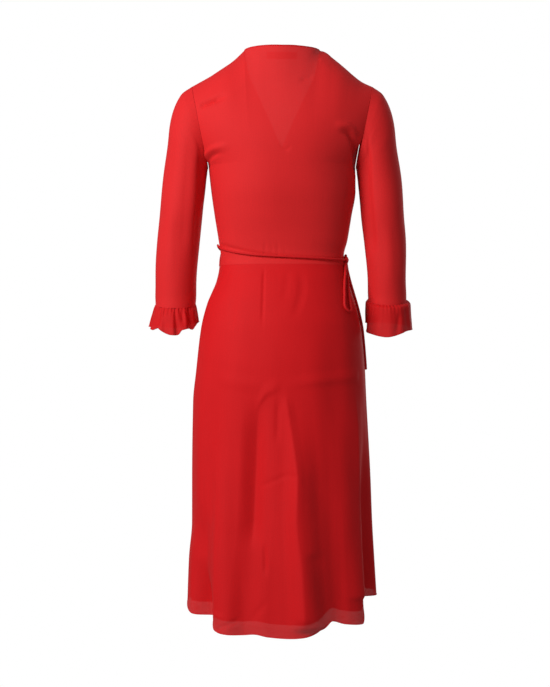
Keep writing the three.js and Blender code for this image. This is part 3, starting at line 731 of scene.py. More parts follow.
    def section_point(self, angle: Number, z: Number) -> tuple[Array, Array]:
        """Points of the plan sections.

        Args:
            angle: Angles round the dress in degrees, 0 at the wearer's left and 90 at the back.
            z: Heights.

        Returns:
            The points and their outward directions.
        """
        angle, z = np.broadcast_arrays(np.asarray(angle, dtype=float), np.asarray(z, dtype=float))
        cosine, sine = np.cos(np.radians(angle)), np.sin(np.radians(angle))
        width = np.where(cosine >= 0, self.size["left"](z), self.size["right"](z))
        depth = np.where(sine >= 0, self.size["back"](z), self.size["front"](z))
        power = 2 / self.squareness
        point = np.stack([width * signed_power(cosine, power), depth * signed_power(sine, power), z], axis=-1)
        push = np.stack(
            [
                signed_power(cosine, 2 - power) / width,
                signed_power(sine, 2 - power) / depth,
                np.zeros_like(z),
            ],
            axis=-1,
        )
        return point, push / np.linalg.norm(push, axis=-1, keepdims=True)

    def fold_depth(self, angle: Array, z: Array) -> Array:
        """How far the skirt's folds push it out.

        Args:
            angle: Angles round the dress.
            z: Heights.

        Returns:
            The push at each place, outwards if positive.
        """
        total = np.zeros(np.broadcast(angle, z).shape)
        for top, middle, hem, spread, halfway, depth, start in self.folds:
            share = (start - z) / (start - self.hem_z(hem))
            early, late = smooth(share, 0.0, 0.5), smooth(share, 0.5, 1.0)
            centre = np.where(share < 0.5, lerp(top, middle, early), lerp(middle, hem, late))
            size = np.where(share < 0.5, halfway * early, lerp(halfway, depth, late))
            reach = np.minimum(np.abs(angle - centre) / spread, 1.0)
            total += np.where(share > 0, size * np.cos(reach * math.pi / 2) ** 2, 0.0)
        return total

    def upper_section(self, half: Half, share: Number) -> UpperSection:
        """The upper bodice's section, widened to pass through the armhole.

        Args:
            half: Back or front.
            share: Share of the way up from the armpit.

        Returns:
            The section.
        """
        border_x = lerp(self.armpit[0], self.shoulder_end[0], share)
        border_y = 2 * self.armhole_half_depth * np.sqrt(share / (1 + share + share * share))
        depth = self.upper_depth[half](share)
        cut = (border_y / depth) ** self.squareness
        width = border_x / (1 - cut) ** (1 / self.squareness)
        return UpperSection(border_x, depth, width, np.degrees(np.arcsin(np.sqrt(cut))))

    @staticmethod
    def level_share(level: Number) -> Number:
        """Share of the way up for an upper level, which runs evenly round the armhole."""
        return (1 - np.cos(math.pi * np.maximum(level, 0))) / 2

    def border(self, half: Half, level: Number) -> Array:
        """Quarter angle of the armhole's edge, or 0 at the side seam below it."""
        border = self.upper_section(half, self.level_share(level)).border
        return np.where(np.asarray(level) > 0, border, 0.0)

    def bodice(self, half: Half, side: Number, quarter: Array, level: Array) -> Array:
        """Points of the bodice.

        Args:
            half: Back or front.
            side: 1 at the wearer's left, -1 at the right.
            quarter: Quarter angles, 0 at the side and 90 at the centre line.
            level: -1 at the waist, 0 at the armpit, 1 at the shoulder and neck.

        Returns:
            The points.
        """
        side, quarter, level = np.broadcast_arrays(side, quarter, level)
        power = 2 / self.squareness
        cosine = signed_power(np.cos(np.radians(quarter)), power)
        sine = signed_power(np.sin(np.radians(quarter)), power)
        gap = self.seam_gap / 2
        z = lerp(self.armpit[1], self.waist_z + gap, -np.minimum(level, 0))
        width = np.where(side > 0, self.size["left"](z), self.size["right"](z))
        low_x, low_y = width * cosine, self.depth_curve(half)(z) * sine
        share = self.level_share(level)
        section = self.upper_section(half, share)
        high_x, raw_y = section.width * cosine, section.depth * sine
        across = np.minimum(high_x / section.border_x, 1.0)
        top_x = across * self.shoulder_end[0]
        most, taken, power = self.neck_easing
        eased = most * np.minimum(1.0, (1 - share) / taken) ** power
        neck_depth = self.neck_depths[0 if half is Half.BACK else 1]
        top_y = neck_depth * soft_round(top_x / self.neck_half_width, eased)
        neck_power, shoulder_power = self.closing_powers
        over_neck, over_shoulder = 1 - share**neck_power, np.sqrt(1 - share**shoulder_power)
        closing = lerp(over_neck, over_shoulder, smooth(across, *self.closing_change))
        high_y = top_y + (raw_y - top_y) * closing
        shoulder_left, shoulder_right = self.shoulder_z
        top_z = np.where(side > 0, shoulder_left(top_x), shoulder_right(top_x))
        high_z = lerp(self.armpit[1], top_z, share)
        low = level <= 0
        return np.stack(
            [
                side * np.where(low, low_x, high_x),
                half.value * (np.where(low, low_y, high_y) + gap),
                np.where(low, z, high_z),
            ],
            axis=-1,
        )

    def front(self, layer: Layer, count: Array, level: Array) -> tuple[Array, Array]:
        """Points of a front bodice.

        Args:
            layer: Whether it is the outer, right front or the inner, left one.
            count: 0 at its own side, 1 at the centre line, 2 at the far side.
            level: -1 at the waist, 0 at the armpit, 1 at the shoulder.

        Returns:
            The points, and how far each stands off the dress because of the wrap.
        """
        border = self.border(Half.FRONT, level)
        share = np.where(count <= 1, count, 2 - count)
        side = np.where(count <= 1, -layer.value, layer.value)
        points = self.bodice(Half.FRONT, side, lerp(border, 90, share), level)
        overlap = smooth(-points[..., 2], *self.overlap_top)
        return points, layer.value * self.layer_step * count * overlap

    def edge_count(self, level: Array) -> Array:
        """Where the V edge meets each level, as a count across the front."""
        share = self.level_share(level)
        z = np.where(level > 0, lerp(self.armpit[1], 0, share), lerp(self.armpit[1], self.waist_z, -level))
        x = self.v_edge_x(z)
        upper = self.upper_section(Half.FRONT, share)
        width = np.where(level > 0, upper.width, self.size["left"](z))
        ratio = np.minimum(1.0, (np.abs(x) / width) ** (self.squareness / 2))
        border = self.border(Half.FRONT, level)
        part = (np.degrees(np.arccos(ratio)) - border) / (90 - border)
        return np.where(x < 0, part, 2 - part)

    def wrap_shift(self, layer: Layer, angle: Array) -> Array:
        """How far a skirt panel stands off the dress because of the wrap."""
        share = (360 - angle if layer is Layer.INNER else angle - 180) / 90
        return layer.value * self.layer_step * share

    def stand_off(self, angle: Number, z: Number, stand: Number) -> Array:
        """Points outside the dress near the waist, at an angle, height and distance."""
        point, push = self.section_point(angle, z)
        return point + push * np.asarray(stand, dtype=float)[..., None]

    def beside_seam(self, rows: Table, stand: float) -> Array:
        """Points on the dress's right side.

        Args:
            rows: Distance back of the side seam, and height.
            stand: How far the points stand off.

        Returns:
            The points.
        """
        y, z = column(rows, 0), column(rows, 1)
        depth = np.where(y >= 0, self.size["back"](z), self.size["front"](z))
        turn = np.degrees(np.arcsin((np.abs(y) / depth) ** (self.squareness / 2)))
        angle = 180 - np.sign(y) * turn
        return self.stand_off(angle, z, stand + np.maximum(0.0, self.wrap_shift(Layer.OUTER, angle)))


class Value:
    """A shader socket that takes part in Python expressions."""

    def __init__(self, shader: "Shader", socket: bpy.types.NodeSocket) -> None:
        """Keeps the socket and the shader it belongs to."""
        self.shader = shader
        self.socket = socket

    def _math(self, operation: str, *values: Any) -> "Value":
        """A Math node on this value and others."""
        inputs = dict(enumerate(values))
        return self.shader.node("ShaderNodeMath", {"operation": operation}, inputs)[0]

    def __add__(self, other: Any) -> "Value":
        """Sum."""
        return self._math("ADD", self, other)

    __radd__ = __add__

    def __sub__(self, other: Any) -> "Value":
        """Difference."""
        return self._math("SUBTRACT", self, other)

    def __rsub__(self, other: Any) -> "Value":
        """Difference from a number."""
        return self._math("SUBTRACT", other, self)

    def __mul__(self, other: Any) -> "Value":
        """Product."""
        return self._math("MULTIPLY", self, other)

    __rmul__ = __mul__

    def above(self, limit: float) -> "Value":
        """1 where the value is above a limit, and 0 elsewhere."""
        return self._math("GREATER_THAN", self, limit)

    def sine(self) -> "Value":
        """Sine of the value in radians."""
        return self._math("SINE", self)

    def clamped(self) -> "Value":
        """The value held between 0 and 1."""
        return self.shader.node("ShaderNodeClamp", {}, {"Value": self})[0]


class Shader:
    """Builds one node tree."""

    def __init__(self, tree: bpy.types.NodeTree) -> None:
        """Starts with an empty tree."""
        self.tree = tree
        tree.nodes.clear()

    def node(self, kind: str, settings: dict[str, Any], inputs: dict[Any, Any]) -> list[Value]:
        """Adds a node.

        Args:
            kind: The node's type.
            settings: Its properties, set first.
            inputs: Values or links by socket name or number.

        Returns:
            Its outputs.
        """
        node = self.tree.nodes.new(kind)
        for name, value in settings.items():
            setattr(node, name, value)
        for name, value in inputs.items():
            socket = node.inputs[name]
            if isinstance(value, Value):
                self.tree.links.new(value.socket, socket)
            else:
                socket.default_value = value
        return [Value(self, socket) for socket in node.outputs]

    def blend(self, factor: Any, first: Colour, second: Colour) -> Value:
        """A mixture of two colours, with a factor of 1 for the second alone."""
        inputs = {0: factor, 6: (*first, 1.0), 7: (*second, 1.0)}
        return self.node("ShaderNodeMix", {"data_type": "RGBA"}, inputs)[2]

    def noise(self, place: Value, scale: float, detail: float, **inputs: float) -> Value:
        """A soft noise over places, with finer parts the more detail it has."""
        inputs = {"Vector": place, "Scale": scale, "Detail": detail, **inputs}
        return self.node("ShaderNodeTexNoise", {}, inputs)[0]


@dataclass(frozen=True)
class Crepe:
    """Crepe cloth: a fine plain weave of twisted yarns with a pebbly face.

    Attributes:
        name: The material's name.
        slot: The name of a slot on the frame; not used.
        colour: The yarn's colour; for the tie it is darkened with painted shade.
        thickness: How thick a panel of it is made, in millimetres.
        opacity: How much one face of the cloth hides, 1 for all of it.
        pitch: Distance between yarns in metres.
        pebble: Size of the crepe's pebbles in metres.
        grain: Depth of the weave in metres.
        roughness: How dull it is.
        sheen: Strength of the soft shine at grazing angles.
    """

    name: str
    slot: str
    colour: Colour
    thickness: float = 0.5
    opacity: float = 1.0
    pitch: float = 0.0006
    pebble: float = 0.0022
    grain: float = 0.00012
    roughness: float = 0.72
    sheen: float = 0.06

    def make(self) -> bpy.types.Material:
        """Builds the material: shaded yarns, slubs and pebbles, see-through where the cloth is sheer.

        Returns:
            The new material.
        """
        material = bpy.data.materials.new(self.name)
        material.use_nodes = True
        s = Shader(material.node_tree)
        weave = s.node("ShaderNodeUVMap", {"uv_map": "weave"}, {})[0]
        across, up, _ = s.node("ShaderNodeSeparateXYZ", {}, {0: weave})
        yarns = 2 * math.pi / self.pitch
        threads = (across * yarns).sine() * (up * yarns).sine()
        pebbles = s.noise(weave, 1 / self.pebble, 3.0, Roughness=0.6)
        drawn = s.node("ShaderNodeVectorMath", {"operation": "MULTIPLY"}, {0: weave, 1: (700, 12, 1)})[0]
        slubs = s.noise(drawn, 1.0, 2.0)
        patches = s.noise(weave, 14.0, 2.0)
        shade = pebbles * 0.45 + slubs * 0.3 + patches * 0.25
        deep = tuple(c * 0.82 for c in self.colour)
        light = tuple(min(1.0, c * 1.16 + 0.002) for c in self.colour)
        colour = s.blend(shade, deep, light)
        height = threads * 0.25 + pebbles * 0.75
        bump = s.node("ShaderNodeBump", {}, {"Strength": 0.5, "Distance": self.grain, "Height": height})[0]
        inputs: dict[Any, Any] = {
            "Base Color": colour,
            "Roughness": (pebbles * 0.16 + (self.roughness - 0.08)).clamped(),
            "Normal": bump,
            "Specular IOR Level": 0.2,
            "Sheen Weight": self.sheen,
            "Sheen Roughness": 0.45,
            "Sheen Tint": (1.0, 0.45, 0.42, 1.0),
        }
        if self.opacity < 1:
            inputs["Alpha"] = (pebbles * 0.1 + (self.opacity - 0.05)).clamped()
        surface = s.node("ShaderNodeBsdfPrincipled", {}, inputs)[0]
        s.node("ShaderNodeOutputMaterial", {}, {"Surface": surface})
        return material


class Cloth(Enum):
    """The dress's cloths."""

    SHEER = Crepe("sheer_crepe_cloth", "sheer_crepe", (0.80, 0.018, 0.020), opacity=0.82)
    RUFFLE = Crepe("ruffle_crepe_cloth", "sheer_crepe", (0.68, 0.006, 0.008), opacity=0.84)
    SKIRT = Crepe("skirt_crepe_cloth", "skirt_crepe", (0.72, 0.005, 0.008), opacity=0.87)
    LINING = Crepe(
        "lining_cloth", "lining", (0.60, 0.005, 0.007), thickness=0.45,
        pitch=0.0003, pebble=0.004, grain=0.00004, roughness=0.55,
    )
    # The tie's red is deeper than the sheer and skirt crepe it is cut from. That is painted shade, so the
    # tight waist tie reads as shaded; the bindings and cuff seams share it.
    TIE = Crepe("tie_crepe_painted_shade_cloth", "tie", (0.62, 0.006, 0.009), roughness=0.66)
    LABEL = Crepe(
        "label_ribbon_cloth", "label_ribbon", (0.62, 0.010, 0.014), pitch=0.0004, pebble=0.006, roughness=0.4
    )


@dataclass(frozen=True)
class Cut:
    """A panel's size as it was cut.

    Attributes:
        width: Width in metres; not used.
        length: Length in metres; not used.
        area: Area in square metres.
        held: How the cloth is held; not used.
    """

    width: float
    length: float
    area: float
    held: str = "hung"


class Wardrobe:
    """Finishes pieces and ties them to the frame."""

    def __init__(self) -> None:
        """Makes each cloth's material once."""
        self.materials = {cloth: cloth.value.make() for cloth in Cloth}

    def finish(self, thing: bpy.types.Object, cloth: Cloth, *nodes: str) -> bpy.types.Object:
        """Gives a piece its cloth and its place on the frame.

        Args:
            thing: The piece.
            cloth: What it is made of.
            nodes: The solids it stands for.

        Returns:
            The same piece.
        """
        thing.data.materials.append(self.materials[cloth])
        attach(thing, "root")
        if nodes:
            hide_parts(*nodes)
        LOG.info("%s: %d faces", thing.name, len(thing.data.polygons))
        return thing

    def allowance(self, grid: ClothGrid, edge: Edge, name: str) -> bpy.types.Object:
        """Builds a side seam's allowance behind the edge of a panel.

        Args:
            grid: The panel's form.
            edge: The edge that is sewn.
            name: The allowance's name.

        Returns:
            The allowance.
        """
        strip = grid.edge_strip(edge, *SEAM_ALLOWANCE).facing_out(CORE).moved(-SEAM_DEPTH)
        return self.finish(strip.shell(name, 0.4), Cloth.SHEER)

    def panel(self, grid: ClothGrid, node: str, cloth: Cloth, cut: Cut, trims: Sequence = ()) -> None:
        """Builds a panel of cloth and logs its area beside the area it was cut to.

        Args:
            grid: The panel's form.
            node: The solid it stands for, from which it takes its name.
            cloth: What it is made of.
            cut: The size it was cut to.
            trims: Pieces sewn to it; not used.
        """
        name = node + ("_ribbon" if cloth is Cloth.LABEL else "_cloth")
        thing = self.finish(grid.shell(name, cloth.value.thickness), cloth, node)
        LOG.info("%s: %.4f square metres against a cut of %.4f", name, grid.area(), cut.area)


@dataclass
class Bodice:
    """The bodice's back, its two crossed fronts, their facings and the neck label.

    Attributes:
        form: The dress's own surface.
        wardrobe: What finishes the pieces.
        back_cut: The back's cut.
        front_cut: Each front's cut.
        facing_cut: Each facing's cut.
        label_cut: The label's cut.
        back_creases: Creases that run up and down the back: stops are heights, then places across.
        back_cross_creases: Creases that run across it: stops are places across, then heights.
        back_folds: Folds that turn round below the armholes.
        front_creases: Creases that run up and down the fronts.
        front_cross_creases: Creases that run across them.
        ripples: Soft waves of all the cloth: across it, then up and down.
        rows: How many rows of cloth lie between the waist and armpit, and above.
        facing_depth: Depth of the middle of a facing and of the label below the dress's surface.
        label_span: Where the label starts and ends across the back.
        label_levels: The levels of its lower and upper edge.
    """

    form: DressForm
    wardrobe: Wardrobe
    back_cut: Cut = Cut(0.42, 0.44, 0.16)
    front_cut: Cut = Cut(0.40, 0.50, 0.10)
    facing_cut: Cut = Cut(0.05, 0.58, 0.0225)
    label_cut: Cut = Cut(0.061, 0.016, 0.0009, "laid")
    back_creases: tuple[Crease, ...] = (
        Crease(((-186, -142), (-205, -147), (-225, -150), (-250, -150)), 13, -6.0, -0.2, 0.4, (0.25, 0.4)),
        Crease(((-250, -140), (-300, -136), (-370, -124)), 16, -1.6),
        Crease(((-384, 33), (-414, 35)), 3.5, -0.8, 0, 0.5, (0.1, 0.6)),
        Crease(((-388, 21), (-414, 20)), 3.0, -0.7, 0, 0.5, (0.1, 0.6)),
        Crease(((-380, 9), (-414, 8)), 3.5, -0.8, 0, 0.5, (0.1, 0.6)),
        Crease(((-386, -4), (-414, -6)), 3.0, -0.6, 0, 0.5, (0.1, 0.6)),
    )
    back_cross_creases: tuple[Crease, ...] = (
        Crease(((104, -104), (132, -112), (162, -121)), 8, -6.0, 0, 0.3, (0.4, 0.1)),
        Crease(((-62, -67), (-47, -71), (-30, -78)), 5, -3.0, 0, 0.6, (0.3, 0.3)),
        Crease(((-17, -203), (-9, -213), (-3, -210), (6, -200)), 4.5, -1.8, 0, 0.7, (0.2, 0.2)),
        Crease(((40, -416), (58, -424), (84, -428), (118, -427)), 7, 1.5, 0, 0.3, (0.3, 0.1)),
        Crease(
            ((-118, -421), (-60, -419), (0, -416), (60, -408), (122, -391)),
            6, -2.6, 0, 0.5, (0.02, 0.02),
        ),
    )
    back_folds: tuple[Fold, ...] = (
        Fold(
            ((-98, -160), (-114, -161), (-130, -164), (-142, -174), (-150, -196)),
            14, 9, 5.5, 0.2, (0.4, 0.4),
        ),
        Fold(
            ((-106, -172), (-122, -174), (-134, -181), (-141, -196), (-144, -220), (-146, -246)),
            9, 24, -8.0, 0.3, (0.35, 0.4),
        ),
        Fold(((98, -202), (118, -203), (136, -206), (150, -214), (158, -226)), 9, 16, 5.0, 0.2, (0.5, 0.02)),
        Fold(((112, -214), (130, -216), (143, -222), (149, -236)), 20, 7, -3.5, 0.3, (0.5, 0.1)),
    )
    front_creases: tuple[Crease, ...] = (
        Crease(((-300, -96), (-350, -84), (-412, -70)), 12, -1.8),
        Crease(((-330, -20), (-372, -14), (-414, -10)), 8, -1.6, 0, 0.3, (0.1, 0.6)),
        Crease(((-340, 18), (-380, 24), (-414, 30)), 7, -1.5, 0, 0.3, (0.1, 0.6)),
        Crease(((-170, -118), (-205, -126), (-240, -130)), 12, -4.0, -0.1, 0.4),
        Crease(((-170, 118), (-205, 126), (-240, 130)), 12, -4.0, 0.1, 0.4),
    )
    front_cross_creases: tuple[Crease, ...] = (
        Crease(((-96, -196), (-40, -258), (20, -330), (104, -404)), 11, -3.0, 0, 0.4, (0.4, 0.1)),
        Crease(((-104, -262), (-40, -312), (20, -358), (106, -410)), 9, -2.6, 0, 0.4, (0.4, 0.1)),
        Crease(((-108, -330), (-40, -366), (30, -394), (108, -415)), 8, -2.2, 0, 0.4, (0.4, 0.1)),
        Crease(((-60, -150), (0, -236), (60, -322), (110, -396)), 12, 2.4, 0, 0.2, (0.4, 0.1)),
        Crease(
            ((-120, -414), (-60, -412), (0, -408), (60, -402), (118, -394)),
            6, -2.2, 0, 0.5, (0.02, 0.02),
        ),
    )
    ripples: tuple[Ripple, ...] = (Ripple(0.5, 31, 47), Ripple(0.4, 19, -61, 1.3))
    rows: int = 64
    facing_depth: float = 2.1
    label_span: tuple[float, float] = (-30.0, 31.0)
    label_levels: tuple[float, float] = (0.775, 0.846)

    @cached_property
    def levels(self) -> Array:
        """Levels from the waist to the shoulder."""
        return np.concatenate([steps(-1, 0, self.rows)[:-1], steps(0, 1, self.rows)])[:, None]

    def ease(self, half: Half, points: Array) -> Array:
        """How far the creases lift the cloth.

        Args:
            half: Back or front.
            points: Points of the bodice.

        Returns:
            The lift at each point.
        """
        x, z = points[..., 0], points[..., 2]
        upright = self.back_creases if half is Half.BACK else self.front_creases
        level = self.back_cross_creases if half is Half.BACK else self.front_cross_creases
        lift = total_rise(upright, z, x) + total_rise(level, x, z)
        if half is Half.BACK:
            lift += total_rise(self.back_folds, x, z)
        off_seam = smooth(np.abs(points[..., 1]), 3.0, 22.0)
        lift += total_rise(self.ripples, x, z) * off_seam
        return lift * smooth(z, self.form.waist_z - 2, self.form.waist_z + 14)

    def quarter_share(self, top_x: Array) -> Array:
        """Shares of the back's width, from the armhole to the centre, for places on its top edge.

        Args:
            top_x: Distances from the centre line.

        Returns:
            The shares.
        """
        section = self.form.upper_section(Half.BACK, 1.0)
        ratio = np.minimum((np.abs(top_x) / section.width) ** (self.form.squareness / 2), 1)
        return (np.degrees(np.arccos(ratio)) - section.border) / (90 - section.border)

    def back_grid(self) -> ClothGrid:
        """The back bodice's form."""
        form, neck = self.form, self.form.neck_half_width
        shoulder = steps(form.shoulder_end[0], neck, 30)[:-1]
        top_x = np.concatenate([shoulder, neck * np.cos(np.radians(steps(0, 90, 36)))])
        share = self.quarter_share(top_x)
        share[0] = 0.0
        share = np.concatenate([share, share[-2::-1]])[None, :]
        side = np.concatenate([np.ones(len(top_x)), -np.ones(len(top_x) - 1)])[None, :]
        border = form.border(Half.BACK, self.levels)
        points = form.bodice(Half.BACK, side, lerp(border, 90, share), self.levels)
        grid = ClothGrid(points).facing_out(CORE)
        return grid.moved(self.ease(Half.BACK, grid.points) - WALL_MIDDLE)

    def front_grid(self, layer: Layer, depth: float, near: Number, columns: int) -> ClothGrid:
        """The form of a front or of its facing, up to the V edge.

        Args:
            layer: Whether it is the outer front or the inner one.
            depth: How far its middle lies below the dress's surface.
            near: The count across the front at which each level starts.
            columns: How many columns of cloth it has.

        Returns:
            The form.
        """
        form = self.form
        count = lerp(near, form.edge_count(self.levels), steps(0, 1, columns)[None, :])
        points, shift = form.front(layer, count, np.broadcast_to(self.levels, count.shape))
        grid, lift = ClothGrid(points), shift - depth + self.ease(Half.FRONT, points)
        if grid.facing_out(CORE) is not grid:
            grid, lift = ClothGrid(points[:, ::-1]), lift[:, ::-1]
        return grid.moved(lift)

    def facing_start(self) -> Array:
        """Counts at which the facing's inner edge lies: its width back from the V edge.

        Returns:
            The count at each level.
        """
        edge = self.form.edge_count(self.levels)
        start, _ = self.form.front(Layer.OUTER, edge, self.levels)
        near, far = edge, np.zeros_like(edge)
        for _ in range(20):
            middle = (near + far) / 2
            points, _ = self.form.front(Layer.OUTER, middle, self.levels)
            close = np.linalg.norm(points - start, axis=-1) < self.form.facing_width
            near, far = np.where(close, middle, near), np.where(close, far, middle)
        return near

    def build(self) -> None:
        """Builds the bodice's panels with their trims."""
        w = self.wardrobe
        back = self.back_grid()
        w.panel(back, "back_bodice", Cloth.SHEER, self.back_cut, self.back_trims(back))
        for side, layer in (("right", Layer.OUTER), ("left", Layer.INNER)):
            grid = self.front_grid(layer, WALL_MIDDLE, 0.0, 72)
            w.panel(grid, f"front_bodice_{side}", Cloth.SHEER, self.front_cut, self.front_trims(grid, side))
            facing = self.front_grid(layer, self.facing_depth, self.facing_start(), 16)
            w.panel(facing, f"facing_{side}", Cloth.SHEER, self.facing_cut)
        w.panel(self.label_grid(), "neck_label", Cloth.LABEL, self.label_cut)

    def back_trims(self, back: ClothGrid) -> list[bpy.types.Object]:
        """The back neck's binding and the seam allowances of the back.

        Args:
            back: The back's form.

        Returns:
            The trims.
        """
        top = back.edge_path(Edge.LAST_ROW)
        inside = np.abs(top[:, 0]) <= self.form.neck_half_width + 0.5
        w = self.wardrobe
        trims = [w.finish(NECK_ROLL.build("neck_binding_back", top[inside]), Cloth.TIE)]
        for side, edge in (("left", Edge.LAST_COLUMN), ("right", Edge.FIRST_COLUMN)):
            trims.append(w.allowance(back, edge, f"side_seam_{side}_back"))
        return trims

    def front_trims(self, grid: ClothGrid, side: str) -> list[bpy.types.Object]:
        """A front's V edge binding and side seam allowance.

        Args:
            grid: The front's form.
            side: Its name.

        Returns:
            The trims.
        """
        edges = (Edge.FIRST_COLUMN, Edge.LAST_COLUMN)
        v_edge, seam = sorted(edges, key=lambda edge: self.distance_inside(grid.edge_path(edge)))
        w = self.wardrobe
        binding = w.finish(V_EDGE_ROLL.build(f"v_edge_binding_{side}", grid.edge_path(v_edge)), Cloth.TIE)
        return [binding, w.allowance(grid, seam, f"side_seam_{side}_front")]

    @staticmethod
    def distance_inside(path: Array) -> float:
        """How far a front's edge keeps from the centre line, which tells its V edge from its side seam."""
        return abs(path[0, 1]) + np.abs(path[:, 0]).min()

    def label_grid(self) -> ClothGrid:
        """The blank neck label's form.

        Returns:
            The form.
        """
        x = np.linspace(*self.label_span, 25)[None, :]
        level = np.linspace(*self.label_levels, 9)[:, None]
        border = self.form.border(Half.BACK, level)
        quarter = lerp(border, 90, self.quarter_share(x))
        points = self.form.bodice(Half.BACK, np.where(x < 0, -1, 1), quarter, level)
        grid = ClothGrid(points).facing_out(CORE)
        return grid.moved(self.ease(Half.BACK, grid.points) - self.facing_depth)


@dataclass(frozen=True)
class SleevePattern:
    """One sleeve's own sizes.

    Attributes:
        rows: Rings below the sleeve head: inner x and z, outer x and z, half depth, forward, drop.
        ruffle: Ruffle rings: inner x, outer x, z, half depth, forward, drop, wave, tilt, lift and
            share of the hem.
        hem: The ruffle's hem by turn: how far it rises and how far it swells.
        creases: Creases of the sleeve's back: stops are heights, then distances outwards.
        cuff_creases: Creases of the ruffle's back.
    """

    rows: Table
    ruffle: Table
    hem: Table
    creases: tuple[Crease, ...]
    cuff_creases: tuple[Crease, ...]


LEFT_SLEEVE = SleevePattern(
    rows=(
        (154, -284, 238, -262, 51, 2, 0),
        (158, -326, 245.5, -322, 49, 4, 1),
        (165, -386, 251, -386, 46, 8, 3),
        (170, -450, 255, -450, 44, 12, 6),
        (173, -507, 254.5, -507, 42, 15, 8),
    ),
    ruffle=(
        (173, 254.5, -507.3, 42, 15, 8, 0.8, 0, 0, 0),
        (171, 257, -516, 45, 15, 8, 1.6, 0, 2, 0.05),
        (168.5, 261.5, -538, 50, 16, 8, 2.8, 0, 8, 0.35),
        (167, 266, -562, 55, 17, 6, 3.6, -2, 16, 1),
    ),
    hem=(
        (0, -2, 0), (32, -1.7, 0), (44, 4, 0), (56, 8.8, 0), (65, 5.5, 0), (74, 2.6, 0), (86, 0.5, 0),
        (103, -0.6, 0), (113, 6.3, 0), (120, 5.9, 0), (131, 3.6, 0), (143, -2.5, 0), (150, 1.2, 0),
        (180, 3.4, 0), (270, 4, 0), (360, -2, 0),
    ),
    creases=(
        Crease(
            ((-160, 166), (-200, 168), (-260, 172), (-340, 178), (-430, 184)),
            14, 4.0, 0.3, 0.1, (0.25, 0.3),
        ),
        Crease(((-300, 214), (-380, 222), (-470, 222)), 16, 1.2),
    ),
    cuff_creases=(
        Crease(((-500, 240), (-530, 243), (-556, 246)), 5, -1.6, 0, 0.3, (0.3, 0.2)),
        Crease(((-505, 232), (-520, 233), (-538, 236)), 3.5, -1.2, 0, 0.3),
        Crease(((-508, 214), (-530, 210), (-572, 205)), 8, -3.4, 0.2, 0.2, (0.05, 0.2)),
        Crease(((-512, 202), (-530, 198), (-548, 196)), 6, -2.0, 0, 0.2),
        Crease(((-508, 186), (-525, 184), (-548, 182)), 7, -2.4, 0, 0.2, (0.1, 0.3)),
        Crease(((-520, 226), (-545, 226), (-572, 224)), 9, 1.8),
        Crease(((-520, 192), (-540, 190), (-560, 189)), 5, 1.4),
    ),
)
RIGHT_SLEEVE = SleevePattern(
    rows=(
        (154, -284, 239, -262, 51, 2, 0),
        (157, -326, 245, -322, 49, 4, 1),
        (165, -386, 249, -386, 46, 8, 4),
        (170.5, -450, 249.5, -450, 44, 12, 9),
        (173, -497, 250.5, -497, 42, 15, 12),
    ),
    ruffle=(
        (173, 250.5, -497.3, 42, 15, 12, 0.5, 0, 0, 0),
        (168, 258, -504, 48, 15, 12, 0.8, 0, 0, 0.05),
        (167, 260, -528, 50, 16, 10, 1, 1, 0, 0.35),
        (167.5, 262, -558, 52, 17, 10, 1.4, 3, 1, 1),
    ),
    hem=(
        (0, -2.3, 0), (46, 2.8, 0), (60, 1.2, 0), (82, -2.3, 0), (99, -3.7, 0), (118, -2.1, 0),
        (141, 0.8, 2), (155, 3, 4), (168, 18, -4), (180, 18, 0), (200, 14, 0), (270, 6, 0), (360, -2.3, 0),
    ),
    creases=(
        Crease(((-135, 167), (-175, 167), (-215, 170), (-260, 172)), 5.5, -2.8, 0, 0.5),
        Crease(((-190, 162), (-250, 165), (-330, 172), (-420, 180)), 14, -5.0, 0, 0.1, (0.2, 0.3)),
        Crease(((-330, 205), (-400, 212), (-480, 214)), 16, 1.2),
    ),
    cuff_creases=(
        Crease(((-520, 232), (-545, 230), (-568, 226)), 8, -1.6, 0, 0.2),
        Crease(((-500, 246), (-530, 248), (-560, 252)), 7, -1.0),
        Crease(((-505, 186), (-530, 186), (-560, 184)), 14, -1.2),
    ),
)


